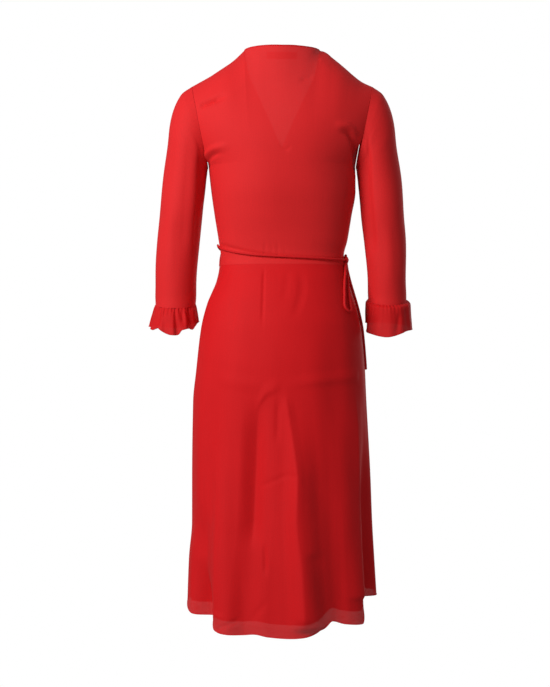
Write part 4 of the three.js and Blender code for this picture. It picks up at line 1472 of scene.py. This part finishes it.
@dataclass
class Sleeve:
    """A three-quarter sleeve with its gathered cuff ruffle.

    Attributes:
        form: The dress's own surface.
        wardrobe: What finishes the pieces.
        side: 1 at the wearer's left, -1 at the right.
        pattern: The sleeve's own sizes.
        sleeve_cut: The sleeve's cut.
        ruffle_cut: The ruffle's cut.
        waves: How many waves go round the ruffle.
        calm: How much smaller the waves are beside the body, as a share.
        gathers: How many fine gathers go round the ruffle's seam.
        gather_depth: Their depth.
        ripples: Soft waves of the sleeve: up and down, then from front to back.
        allowance: Where the armhole's allowance starts and ends, from the seam.
        cuff_seam: How far the ruffle's seam lies from its edge, and how far behind the cloth.
        head: Rings of the sleeve head, as in the pattern.
    """

    form: DressForm
    wardrobe: Wardrobe
    side: int
    pattern: SleevePattern
    sleeve_cut: Cut = Cut(0.34, 0.42, 0.105)
    ruffle_cut: Cut = Cut(0.34, 0.062, 0.016, "gathered")
    waves: int = 12
    calm: float = 0.6
    gathers: int = 37
    gather_depth: float = 0.5
    ripples: tuple[Ripple, ...] = (Ripple(0.7, 23, 17), Ripple(0.5, 37, -13, 2))
    allowance: tuple[float, float] = (0.3, 7.5)
    cuff_seam: tuple[float, float] = (2.0, 0.6)
    head: Table = (
        (148.5, -238, 200, -86, 57, 0, 0),
        (149.7, -242, 208, -98, 57, 0, 0),
        (150.4, -246, 218, -122, 56, 0, 0),
        (151.2, -251, 225, -152, 55, 0, 0),
        (152.2, -260, 230, -194, 54, 1, 0),
    )

    @property
    def name(self) -> str:
        """The sleeve's side."""
        return "left" if self.side > 0 else "right"

    def ring_points(self, ring: Array, turn: Array, swell: Array, lift: Array) -> Array:
        """Points of rings in the planes of their side points.

        Args:
            ring: Rows of inner x, inner z, outer x, outer z, half depth, forward and drop.
            turn: Angles round the sleeve in radians.
            swell: Size of each point's radius as a share.
            lift: How far the two sides are raised.

        Returns:
            The points.
        """
        inner_x, inner_z, outer_x, outer_z, depth, forward, drop = (ring[:, i : i + 1] for i in range(7))
        cosine, sine = np.cos(turn), np.sin(turn)
        x = (inner_x + outer_x) / 2 + (outer_x - inner_x) / 2 * cosine * swell
        y = depth * sine * swell - forward
        z = (inner_z + outer_z) / 2 + (outer_z - inner_z) / 2 * cosine * swell
        z = z - drop * sine + lift * cosine**2
        return np.stack(np.broadcast_arrays(self.side * x, y, z), axis=-1)

    def lift(self, creases: tuple[Crease, ...], grid: ClothGrid) -> Array:
        """How far creases lift the cloth at each of its points."""
        return total_rise(creases, grid.points[..., 2], grid.points[..., 0] * self.side)

    def sleeve_grid(self) -> ClothGrid:
        """The sleeve's form, with its creases.

        Returns:
            The form.
        """
        f = self.form
        (low_x, low_z), (high_x, high_z) = f.armpit, f.shoulder_end
        length = math.hypot(high_z - low_z, high_x - low_x)
        gap_x, gap_z = f.seam_gap * (high_z - low_z) / length, -f.seam_gap * (high_x - low_x) / length
        first = (low_x + gap_x, low_z + gap_z, high_x + gap_x, high_z + gap_z, f.armhole_half_depth, 0, 0)
        rings = np.array([first, *self.head, *self.pattern.rows], dtype=float)
        stops = np.arange(len(rings))
        at = steps(0, len(rings) - 1, 110)
        ring = np.stack([Curve(stops, rings[:, i])(at) for i in range(7)], axis=1)
        turn = np.arange(96 // COARSE)[None, :] * 2 * math.pi / (96 // COARSE)
        points = self.ring_points(ring, turn, np.ones_like(turn), np.zeros_like(turn))
        grid = ClothGrid(points, True).facing_out(points.mean(axis=1, keepdims=True))
        y, z = grid.points[..., 1], grid.points[..., 2]
        lift = np.where(y > -8, self.lift(self.pattern.creases, grid), 0.0)
        soft = total_rise(self.ripples, z, y)
        fade = (smooth(at, 0.3, 3.0) * (1 - smooth(at, len(rings) - 1.4, len(rings) - 1)))[:, None]
        return grid.moved((lift + soft) * fade - WALL_MIDDLE)

    def ruffle_grid(self) -> ClothGrid:
        """The ruffle's form: waves that grow towards the hem and fine gathers at the seam.

        Returns:
            The form.
        """
        table = np.array(self.pattern.ruffle, dtype=float)
        stops = np.linspace(0, 1, len(table))
        at = steps(0, 1, 26)
        inner_x, outer_x, z, depth, forward, drop, wave, tilt, lift, follow = (
            Curve(stops, table[:, i])(at)[:, None] for i in range(10)
        )
        count = 360 // COARSE
        turn = np.arange(count)[None, :] * 2 * math.pi / count
        hem = self.pattern.hem
        rise, bulge = (Curve(column(hem, 0), column(hem, i))(np.degrees(turn)) for i in (1, 2))
        room = 1 + self.calm * np.minimum(0, np.cos(turn))
        phase = self.waves * turn + 0.45 * np.sin(2 * turn + 0.6) * at[:, None]
        uneven = 1 + 0.22 * np.sin(5 * turn + 1.1) * at[:, None]
        gathers = self.gather_depth * np.sin(self.gathers * turn) * (1 - smooth(at, 0.1, 0.7))[:, None]
        calmer = lerp(0.5, 1.0, smooth(-np.sin(turn), -0.2, 0.5))
        push = wave * room * calmer * uneven * np.cos(phase) + gathers + follow * bulge
        swell = 1 + 2 * push / (outer_x - inner_x)
        ring = np.concatenate([inner_x, z - tilt, outer_x, z + tilt, depth, forward, drop], axis=1)
        points = self.ring_points(ring, turn, swell, lift)
        points[..., 2] += follow * rise
        grid = ClothGrid(points, True).facing_out(points.mean(axis=1, keepdims=True))
        back = smooth(grid.points[..., 1], -14.0, 2.0)
        return grid.moved(self.lift(self.pattern.cuff_creases, grid) * back - WALL_MIDDLE)

    def build(self) -> None:
        """Builds the sleeve, its ruffle and their seams."""
        w = self.wardrobe
        sleeve, ruffle = self.sleeve_grid(), self.ruffle_grid()
        armhole = sleeve.edge_strip(Edge.FIRST_ROW, *self.allowance).moved(-SEAM_DEPTH)
        seam = w.finish(armhole.shell(f"armhole_seam_{self.name}", 0.6), Cloth.SHEER)
        hem = ring_path(ruffle.edge_path(Edge.LAST_ROW))
        roll = w.finish(HEM_ROLL.build(f"cuff_hem_{self.name}", hem), Cloth.RUFFLE)
        reach, behind = self.cuff_seam
        join = ring_path(ruffle.edge_strip(Edge.FIRST_ROW, 0.0, reach).moved(-behind).points[0])
        cuff_seam = w.finish(CUFF_ROLL.build(f"cuff_seam_{self.name}", join), Cloth.TIE)
        w.panel(sleeve, f"sleeve_{self.name}", Cloth.SHEER, self.sleeve_cut, [seam])
        w.panel(ruffle, f"cuff_ruffle_{self.name}", Cloth.RUFFLE, self.ruffle_cut, [roll, cuff_seam])


def ring_path(points: Array) -> Array:
    """A closed ring's points with the first repeated at the end."""
    return np.concatenate([points, points[:1]])


@dataclass(frozen=True)
class Span:
    """The angles that a skirt panel covers.

    Attributes:
        first: Angle of its first edge.
        last: Angles of its last edge at the waist and at the hem.
        columns: How many columns of cloth it has.
    """

    first: float
    last: tuple[float, float]
    columns: int

    def angles(self, share: Array) -> Array:
        """Each row's angles from the shares of the way down."""
        return lerp(self.first, lerp(*self.last, share), steps(0, 1, self.columns)[None, :])


@dataclass(frozen=True)
class SkirtPanel:
    """One panel of the skirt with its lining.

    Attributes:
        name: Its name.
        layer: How it lies in the wrap.
        cloth: What the cloth covers.
        lining: What the lining covers.
        cut: The cloth's cut.
        lining_cut: The lining's cut.
    """

    name: str
    layer: Layer
    cloth: Span
    lining: Span
    cut: Cut
    lining_cut: Cut

    @property
    def seam(self) -> Span:
        """What the waist seam's allowance covers."""
        return Span(self.cloth.first, self.cloth.last, self.cloth.columns * 2 // 5)


@dataclass
class Skirt:
    """The flared skirt: a back, two crossed fronts and their lining.

    Attributes:
        form: The dress's own surface.
        wardrobe: What finishes the pieces.
        panels: Its panels.
        lining_step: How far the lining lies below the cloth.
        seam_reach: How far the waist seam's allowance reaches up and down.
        seam_depth: How far it lies below the dress's surface.
        back_creases: Creases that run up and down the back: stops are heights, then places across.
        back_cross_creases: Creases that run across it: stops are places across, then heights.
        front_creases: Creases that run up and down the fronts.
        ripples: Soft waves of all the cloth: by angle, then by height.
        ripple_start: Depths between which they come in.
    """

    form: DressForm
    wardrobe: Wardrobe
    panels: tuple[SkirtPanel, ...] = (
        SkirtPanel(
            "back", Layer.PLAIN, Span(0.001, (179.999, 179.999), 225), Span(0.001, (179.999, 179.999), 90),
            Cut(0.55, 0.71, 0.33), Cut(0.55, 0.69, 0.31),
        ),
        SkirtPanel(
            "front_right", Layer.OUTER, Span(180.001, (348, 332), 140), Span(180.001, (340, 329), 84),
            Cut(0.52, 0.69, 0.29), Cut(0.52, 0.67, 0.27),
        ),
        SkirtPanel(
            "front_left", Layer.INNER, Span(198, (359.999, 359.999), 135), Span(204, (359.999, 359.999), 78),
            Cut(0.52, 0.69, 0.29), Cut(0.52, 0.67, 0.27),
        ),
    )
    lining_step: float = 2.4
    seam_reach: float = 5
    seam_depth: float = 1.4
    back_creases: tuple[Crease, ...] = (
        Crease(
            ((-672, -4), (-731, -13), (-788, -21), (-845, -26), (-921, -24), (-1016, -34), (-1125, -40)),
            36, 6.5, -0.28, 0.9, (0.05, 0.5),
        ),
        Crease(
            ((-672, -4), (-731, -13), (-788, -21), (-845, -26), (-921, -24), (-1016, -34)),
            15, 3.2, -0.1, 0.9, (0.5, 0.12),
        ),
        Crease(
            ((-680, 26), (-700, 42), (-731, 48), (-788, 50), (-845, 53), (-921, 57), (-985, 62)),
            27, -7.0, 0.1, 0.8, (0.2, 0.3),
        ),
        Crease(((-690, -30), (-800, -40), (-960, -40), (-1130, -48)), 70, 9.0, -0.4, 0, (0.02, 0.5)),
        Crease(((-962, 34), (-1000, 32), (-1030, 31)), 7, -3.2, 0.2, 0.7),
        Crease(((-683, 8), (-735, 9), (-785, 10)), 10, -1.6, 0, 0.2),
        Crease(
            ((-655, -141), (-731, -144), (-845, -148), (-960, -153), (-1080, -158)),
            30, 6.0, 0.5, 0.9, (0.02, 0.25),
        ),
        Crease(((-660, -160), (-760, -163), (-880, -168)), 12, -3.0, 0, 0.3),
        Crease(((-980, -56), (-1040, -66), (-1120, -78)), 24, -2.5, 0, 0.2, (0.3, 0.1)),
        Crease(((-700, -102), (-860, -112), (-1040, -118)), 26, 1.5),
        Crease(
            ((-640, 140), (-760, 144), (-880, 147), (-1000, 150), (-1112, 152)),
            24, -5.0, -0.1, 0, (0.1, 0.4),
        ),
        Crease(((-860, 126), (-1000, 127), (-1120, 126)), 14, 2.0, 0, 0.2, (0.05, 0.5)),
        Crease(((-840, -64), (-960, -70), (-1060, -75), (-1130, -78)), 42, 4.5, 0, 0, (0.02, 0.5)),
        Crease(((-436, 35), (-470, 36), (-560, 38)), 5.0, -2.0, 0.2, 0.8, (0.35, 0.15)),
        Crease(((-436, -34), (-475, -38), (-545, -20)), 14, -1.3),
        Crease(((-436, -12), (-470, -8), (-510, -2)), 12, -0.7),
        Crease(((-434, 84), (-480, 92), (-560, 98)), 14, -1.0, 0, 0.1, (0.1, 0.6)),
    )
    back_cross_creases: tuple[Crease, ...] = (
        Crease(((-152, -650), (-100, -654), (-40, -660), (6, -668)), 18, 2.0, 0.2, 0.3, (0.05, 0.5)),
        Crease(((20, -668), (80, -660), (140, -652)), 22, 1.2, 0, 0.2, (0.3, 0.3)),
        Crease(((0, -670), (26, -678), (54, -712)), 18, 1.8, 0.5, 0.1),
        Crease(((-30, -839), (-12, -835), (14, -846), (48, -860)), 5, -1.6, 0, 0.7, (0.1, 0.2)),
        Crease(((80, -1108), (104, -1120), (124, -1131)), 5, -3.0, 0, 0.6, (0.2, 0.1)),
        Crease(((104, -1108), (120, -1104), (136, -1096)), 6, 2.2, 0, 0.4),
        Crease(((24, -1072), (44, -1090), (64, -1112)), 14, -0.9),
        Crease(((40, -435), (62, -440), (100, -441), (122, -440)), 8, 1.0, 0, 0.2, (0.3, 0.1)),
    )
    front_creases: tuple[Crease, ...] = (
        Crease(((-434, 70), (-560, 58), (-760, 40)), 14, -3.0, 0, 0.4, (0.02, 0.5)),
        Crease(((-434, 40), (-520, 14), (-640, -18)), 12, -2.4, 0, 0.4, (0.02, 0.5)),
        Crease(((-700, -64), (-860, -58), (-1080, -70)), 26, 5.0, 0.2, 0.7, (0.3, 0.05)),
        Crease(((-660, 10), (-800, 4), (-1000, 16)), 26, -6.0, -0.1, 0.7, (0.2, 0.2)),
        Crease(((-760, -118), (-900, -122), (-1080, -128)), 20, -4.0, 0, 0.5, (0.3, 0.05)),
        Crease(((-720, 112), (-880, 118), (-1080, 124)), 22, -4.0, 0, 0.5, (0.3, 0.05)),
        Crease(((-900, -8), (-980, -2), (-1080, -6)), 14, 3.0, 0, 0.6, (0.4, 0.05)),
    )
    ripples: tuple[Ripple, ...] = (Ripple(0.8, 7.0, 90), Ripple(0.6, 4.1, -130, 1))
    ripple_start: tuple[float, float] = (450.0, 700.0)

    def ease(self, angle: Array, points: Array) -> Array:
        """How far the folds and creases lift the cloth.

        Args:
            angle: Angles round the dress.
            points: Points of the skirt.

        Returns:
            The lift at each point.
        """
        x, z = points[..., 0], points[..., 2]
        back = (angle > 0) & (angle < 180)
        behind = total_rise(self.back_creases, z, x) + total_rise(self.back_cross_creases, x, z)
        before = total_rise(self.front_creases, z, x)
        soft = total_rise(self.ripples, angle, z) * smooth(-z, *self.ripple_start)
        off_seam = smooth(np.abs(points[..., 1]), 6.0, 30.0)
        return self.form.fold_depth(angle, z) + (np.where(back, behind, before) + soft) * off_seam

    def grid(self, panel: SkirtPanel, span: Span, depth: float, end: float) -> ClothGrid:
        """The form of a panel or its lining.

        Args:
            panel: The panel.
            span: The angles it covers.
            depth: How far its middle lies below the dress's surface.
            end: Share of the skirt's length at its hem.

        Returns:
            The form.
        """
        form = self.form
        share = steps(0, end, 150)[:, None]
        angle = span.angles(share)
        z = lerp(form.waist_z - form.seam_gap / 2, form.hem_z(angle), share)
        points, push = form.section_point(angle, z)
        half = np.where((angle > 0) & (angle < 180), 1, -1)
        points[..., 1] += half * form.seam_gap / 2
        lift = form.wrap_shift(panel.layer, angle) - depth + self.ease(angle, points)
        return ClothGrid(points + push * lift[..., None]).facing_out(SKIRT_CORE)

    def waist_seam(self, panel: SkirtPanel) -> ClothGrid:
        """The seam allowance behind the joint of the bodice and a panel.

        Args:
            panel: The panel.

        Returns:
            The allowance's form.
        """
        waist = self.form.waist_z
        z = steps(waist + self.seam_reach, waist - self.seam_reach, 6)[:, None]
        angle = panel.seam.angles(np.zeros_like(z))
        points, push = self.form.section_point(angle, np.broadcast_to(z, angle.shape))
        lift = self.form.wrap_shift(panel.layer, angle) - self.seam_depth
        return ClothGrid(points + push * lift[..., None]).facing_out(np.array([0.0, 0.0, waist]))

    def front_edge(self, grid: ClothGrid) -> bpy.types.Object:
        """Builds the narrow hem along the outer front's edge, which lies at the wearer's left.

        Args:
            grid: The outer front's form.

        Returns:
            The hem.
        """
        edges = (Edge.FIRST_COLUMN, Edge.LAST_COLUMN)
        path = max((grid.edge_path(edge) for edge in edges), key=lambda line: line[:, 0].mean())
        return self.wardrobe.finish(HEM_ROLL.build("skirt_front_edge", path), Cloth.SKIRT)

    def build(self) -> None:
        """Builds the skirt's panels, their hems and the lining."""
        w = self.wardrobe
        for panel in self.panels:
            grid = self.grid(panel, panel.cloth, WALL_MIDDLE, 1.0)
            hem = HEM_ROLL.build(f"skirt_hem_{panel.name}", grid.edge_path(Edge.LAST_ROW))
            seam = self.waist_seam(panel).shell(f"waist_seam_{panel.name}", Cloth.SKIRT.value.thickness)
            trims = [w.finish(hem, Cloth.SKIRT), w.finish(seam, Cloth.SKIRT)]
            if panel.layer is Layer.OUTER:
                trims.append(self.front_edge(grid))
            w.panel(grid, f"skirt_{panel.name}", Cloth.SKIRT, panel.cut, trims)
        for panel in self.panels:
            lining = self.grid(panel, panel.lining, self.lining_step + WALL_MIDDLE, self.form.lining_share)
            w.panel(lining, f"lining_{panel.name}", Cloth.LINING, panel.lining_cut)


@dataclass
class Tie:
    """The narrow tie round the waist with its bow at the right side.

    Attributes:
        form: The dress's own surface.
        wardrobe: What finishes the pieces.
        radius: Half the width of the bow's strands.
        waist_radius: Half the width of the tie where it is drawn tight round the waist.
        waist_sink: How much closer to the dress the tight tie lies than its route.
        stand: How far the strands' middles stand off the dress.
        knot: The knot's place: distance back of the side seam, and height.
        knot_size: Half the knot's thickness, and half its width and height.
        waist: Angle, height and stand of the tie's route.
        loop_back: Route of the back loop: distances back of the side seam, and heights.
        loop_front: Route of the front loop.
        end_side: Route of the free end at the side.
        end_front: Route of the free end in front of it.
    """

    form: DressForm
    wardrobe: Wardrobe
    radius: float = 2.7
    waist_radius: float = 2.1
    waist_sink: float = 0.8
    stand: float = 3.4
    knot: tuple[float, float] = (10, -419)
    knot_size: tuple[float, float] = (4.1, 7.2)
    waist: Table = (
        (-28, -398, 7.9),
        (-20, -395, 7.9),
        (-12, -391, 6.4),
        (-5, -389, 4.2),
        (0, -388.5, 3.6),
        (12, -393, 3.7),
        (25, -399, 3.8),
        (45, -406, 3.8),
        (65, -411.5, 3.8),
        (90, -415.5, 3.8),
        (115, -418, 3.8),
        (140, -419.5, 3.8),
        (158, -419.5, 3.8),
        (166.4, -419, 3.8),
    )
    loop_back: Table = (
        (16, -424.3), (19, -428.5), (26, -439), (35, -451), (44, -464), (52, -478), (58.5, -491),
        (64, -502), (67, -511), (66, -518.5), (61, -522), (56, -518.5), (53, -510), (49.5, -499),
        (44, -486), (36, -469.5), (27, -452.5), (18, -438), (13.3, -431.5), (11.2, -427),
    )
    loop_front: Table = (
        (6.2, -410.9), (2.6, -409.5), (-4, -409.4), (-12, -411.5), (-21, -417), (-30, -428), (-38, -444),
        (-46, -464), (-53, -485), (-57, -500), (-57, -510), (-52, -516), (-46, -513), (-42, -503),
        (-38, -486), (-32, -465), (-25, -444.5), (-17, -427), (-9.5, -418.6), (-4, -415.9),
        (2.6, -415.6),
    )
    end_side: Table = (
        (5.4, -426), (2.5, -430), (-1, -437), (-3.5, -447), (-5, -463), (-6.5, -487), (-8.5, -515),
        (-10.5, -550), (-12, -585), (-13, -615), (-13.5, -636),
    )
    end_front: Table = (
        (2, -421.4), (-2, -422.8), (-7, -425.5), (-11.5, -432), (-15, -442), (-17.5, -456),
        (-19.5, -477), (-21, -500), (-23, -530), (-25, -565), (-27, -600), (-29, -635), (-30, -668),
    )

    def strand(self, node: str, route: Table, far_end: str) -> None:
        """Args:
            node: The solid it stands for, from which it takes its name.
            route: Its route beside the side seam.
            far_end: What its far end is.
        """
        path = smooth_path(self.form.beside_seam(route, self.stand), 2.5)
        thing = Roll(self.radius, sides=14, rounded=far_end == "bare").build(node + "_cloth", path)
        self.wardrobe.finish(thing, Cloth.TIE, node)
        2 * self.radius * METRE

    def build(self) -> None:
        """Builds the tie, its knot, loops and ends."""
        rows = np.array(self.waist)
        route = self.form.stand_off(rows[:, 0], rows[:, 1], rows[:, 2] - self.waist_sink)
        waist = Roll(self.waist_radius, sides=14, rounded=True)
        self.wardrobe.finish(waist.build("waist_tie_cloth", smooth_path(route, 3.0)), Cloth.TIE, "waist_tie")
        self.wardrobe.finish(self.build_knot(), Cloth.TIE, "bow_knot")
        self.strand("bow_loop_back", self.loop_back, "object")
        self.strand("bow_loop_front", self.loop_front, "object")
        self.strand("tie_end_side", self.end_side, "bare")
        self.strand("tie_end_front", self.end_front, "bare")

    def build_knot(self) -> bpy.types.Object:
        """Builds the knot: a rounded lump of cloth with two turns of the tie wound round it.

        Returns:
            The knot.
        """
        y, z = self.knot
        centre = self.form.beside_seam(((y, z),), 4.8)[0]
        _, push = self.form.section_point(173.0, z)
        turn = np.radians(steps(0, 360, 28)[:-1])[None, :]
        rise = np.radians(np.linspace(-80, 80, 17))[:, None]
        wound = np.cos(rise) * (1 + 0.07 * np.cos(5 * rise + 1.2 * np.sin(turn)))
        thick, wide = self.knot_size
        shape = (
            push * (thick * np.cos(turn) * wound)[..., None]
            + np.cross(push, (0, 0, 1)) * (wide * np.sin(turn) * wound)[..., None]
            + np.array([0, 0, 1.0]) * (wide * np.sin(rise) * np.ones_like(turn))[..., None]
        )
        grid = ClothGrid(centre + shape, True).facing_out(centre)
        return tube_object("bow_knot_cloth", grid.points, *grid.weave_stops())


@dataclass(frozen=True)
class SoftBox:
    """A rectangular light.

    Attributes:
        name: Its name.
        place: Where it stands, in millimetres.
        aim: What it points at, in millimetres.
        size: Its width and height in metres.
        power: Its power in watts.
    """

    name: str
    place: Place
    aim: Place
    size: tuple[float, float]
    power: float

    def build(self) -> None:
        """Adds the light to the scene."""
        data = bpy.data.lights.new(self.name, "AREA")
        data.shape = "RECTANGLE"
        data.size, data.size_y = self.size
        data.energy = self.power
        light = bpy.data.objects.new(self.name, data)
        light.location = Vector(self.place) * METRE
        light.rotation_euler = (Vector(self.aim) - Vector(self.place)).to_track_quat("-Z", "Y").to_euler()
        bpy.context.scene.collection.objects.link(light)


@dataclass
class Studio:
    """The floor, the backdrop, the lights and the camera.

    Attributes:
        camera: The camera's place in millimetres.
        lens: Its focal length for a 36 mm sensor.
        lights: The lights.
        floor_z: Height of the floor.
        floor_reach: How far the floor reaches, in metres.
        backdrop: Strength of the backdrop that the camera sees.
        through: Strength of what it sees of the backdrop through cloth.
        ambient: Strength of the light from all round.
    """

    camera: Place = (14, 2600, -585)
    lens: float = 68.13
    lights: tuple[SoftBox, ...] = (
        SoftBox("key", (1550, 1750, 520), (0, 0, -300), (1.2, 1.2), 56),
        SoftBox("fill", (-1500, -2400, 200), (0, 0, -500), (2.0, 2.0), 20),
    )
    floor_z: float = -1500
    floor_reach: float = 40.0
    backdrop: float = 1.0
    through: float = 0.2
    ambient: float = 0.27

    def world(self) -> None:
        """Sets a white backdrop for the camera, and a dimmer soft light for the cloth."""
        world = bpy.data.worlds.new("studio")
        bpy.context.scene.world = world
        world.use_nodes = True
        s = Shader(world.node_tree)
        outputs = s.tree.nodes.new("ShaderNodeLightPath").outputs
        camera = Value(s, outputs["Is Camera Ray"])
        behind = Value(s, outputs["Transparent Depth"]).above(0.5)
        seen = (1 - behind) * self.backdrop + behind * self.through
        strength = camera * seen + (1 - camera) * self.ambient
        light = s.node("ShaderNodeBackground", {}, {"Color": (1, 1, 1, 1), "Strength": strength})[0]
        s.node("ShaderNodeOutputWorld", {}, {"Surface": light})

    def floor(self) -> None:
        """Lays a plain white floor that the camera alone sees."""
        mesh = bpy.data.meshes.new("studio_floor")
        r, z = self.floor_reach, self.floor_z * METRE
        mesh.from_pydata([(-r, -r, z), (r, -r, z), (r, r, z), (-r, r, z)], [], [(0, 1, 2, 3)])
        floor = bpy.data.objects.new("studio_floor", mesh)
        bpy.context.scene.collection.objects.link(floor)
        material = bpy.data.materials.new("studio_white")
        material.use_nodes = True
        s = Shader(material.node_tree)
        glow = s.node("ShaderNodeEmission", {}, {"Color": (1, 1, 1, 1), "Strength": 1.0})[0]
        s.node("ShaderNodeOutputMaterial", {}, {"Surface": glow})
        mesh.materials.append(material)
        floor.visible_diffuse = floor.visible_glossy = False
        floor.visible_transmission = floor.visible_shadow = False

    def build(self) -> None:
        """Sets up the whole studio."""
        scene = bpy.context.scene
        data = bpy.data.cameras.new("camera")
        data.lens, data.sensor_width = self.lens, 36.0
        camera = bpy.data.objects.new("camera", data)
        camera.location = Vector(self.camera) * METRE
        camera.rotation_euler = (math.radians(90), 0, math.radians(180))
        scene.collection.objects.link(camera)
        scene.camera = camera
        self.world()
        self.floor()
        for light in self.lights:
            light.build()
        scene.view_settings.view_transform = "Standard"


def main() -> None:
    """Builds the studio and the dress."""
    logging.basicConfig(level=logging.INFO, format="%(message)s")
    Studio().build()
    form, wardrobe = DressForm(), Wardrobe()
    Tie(form, wardrobe).build()
    Bodice(form, wardrobe).build()
    Sleeve(form, wardrobe, 1, LEFT_SLEEVE).build()
    Sleeve(form, wardrobe, -1, RIGHT_SLEEVE).build()
    Skirt(form, wardrobe).build()
    bpy.context.view_layer.update()


if __name__ == "__main__":
    main()
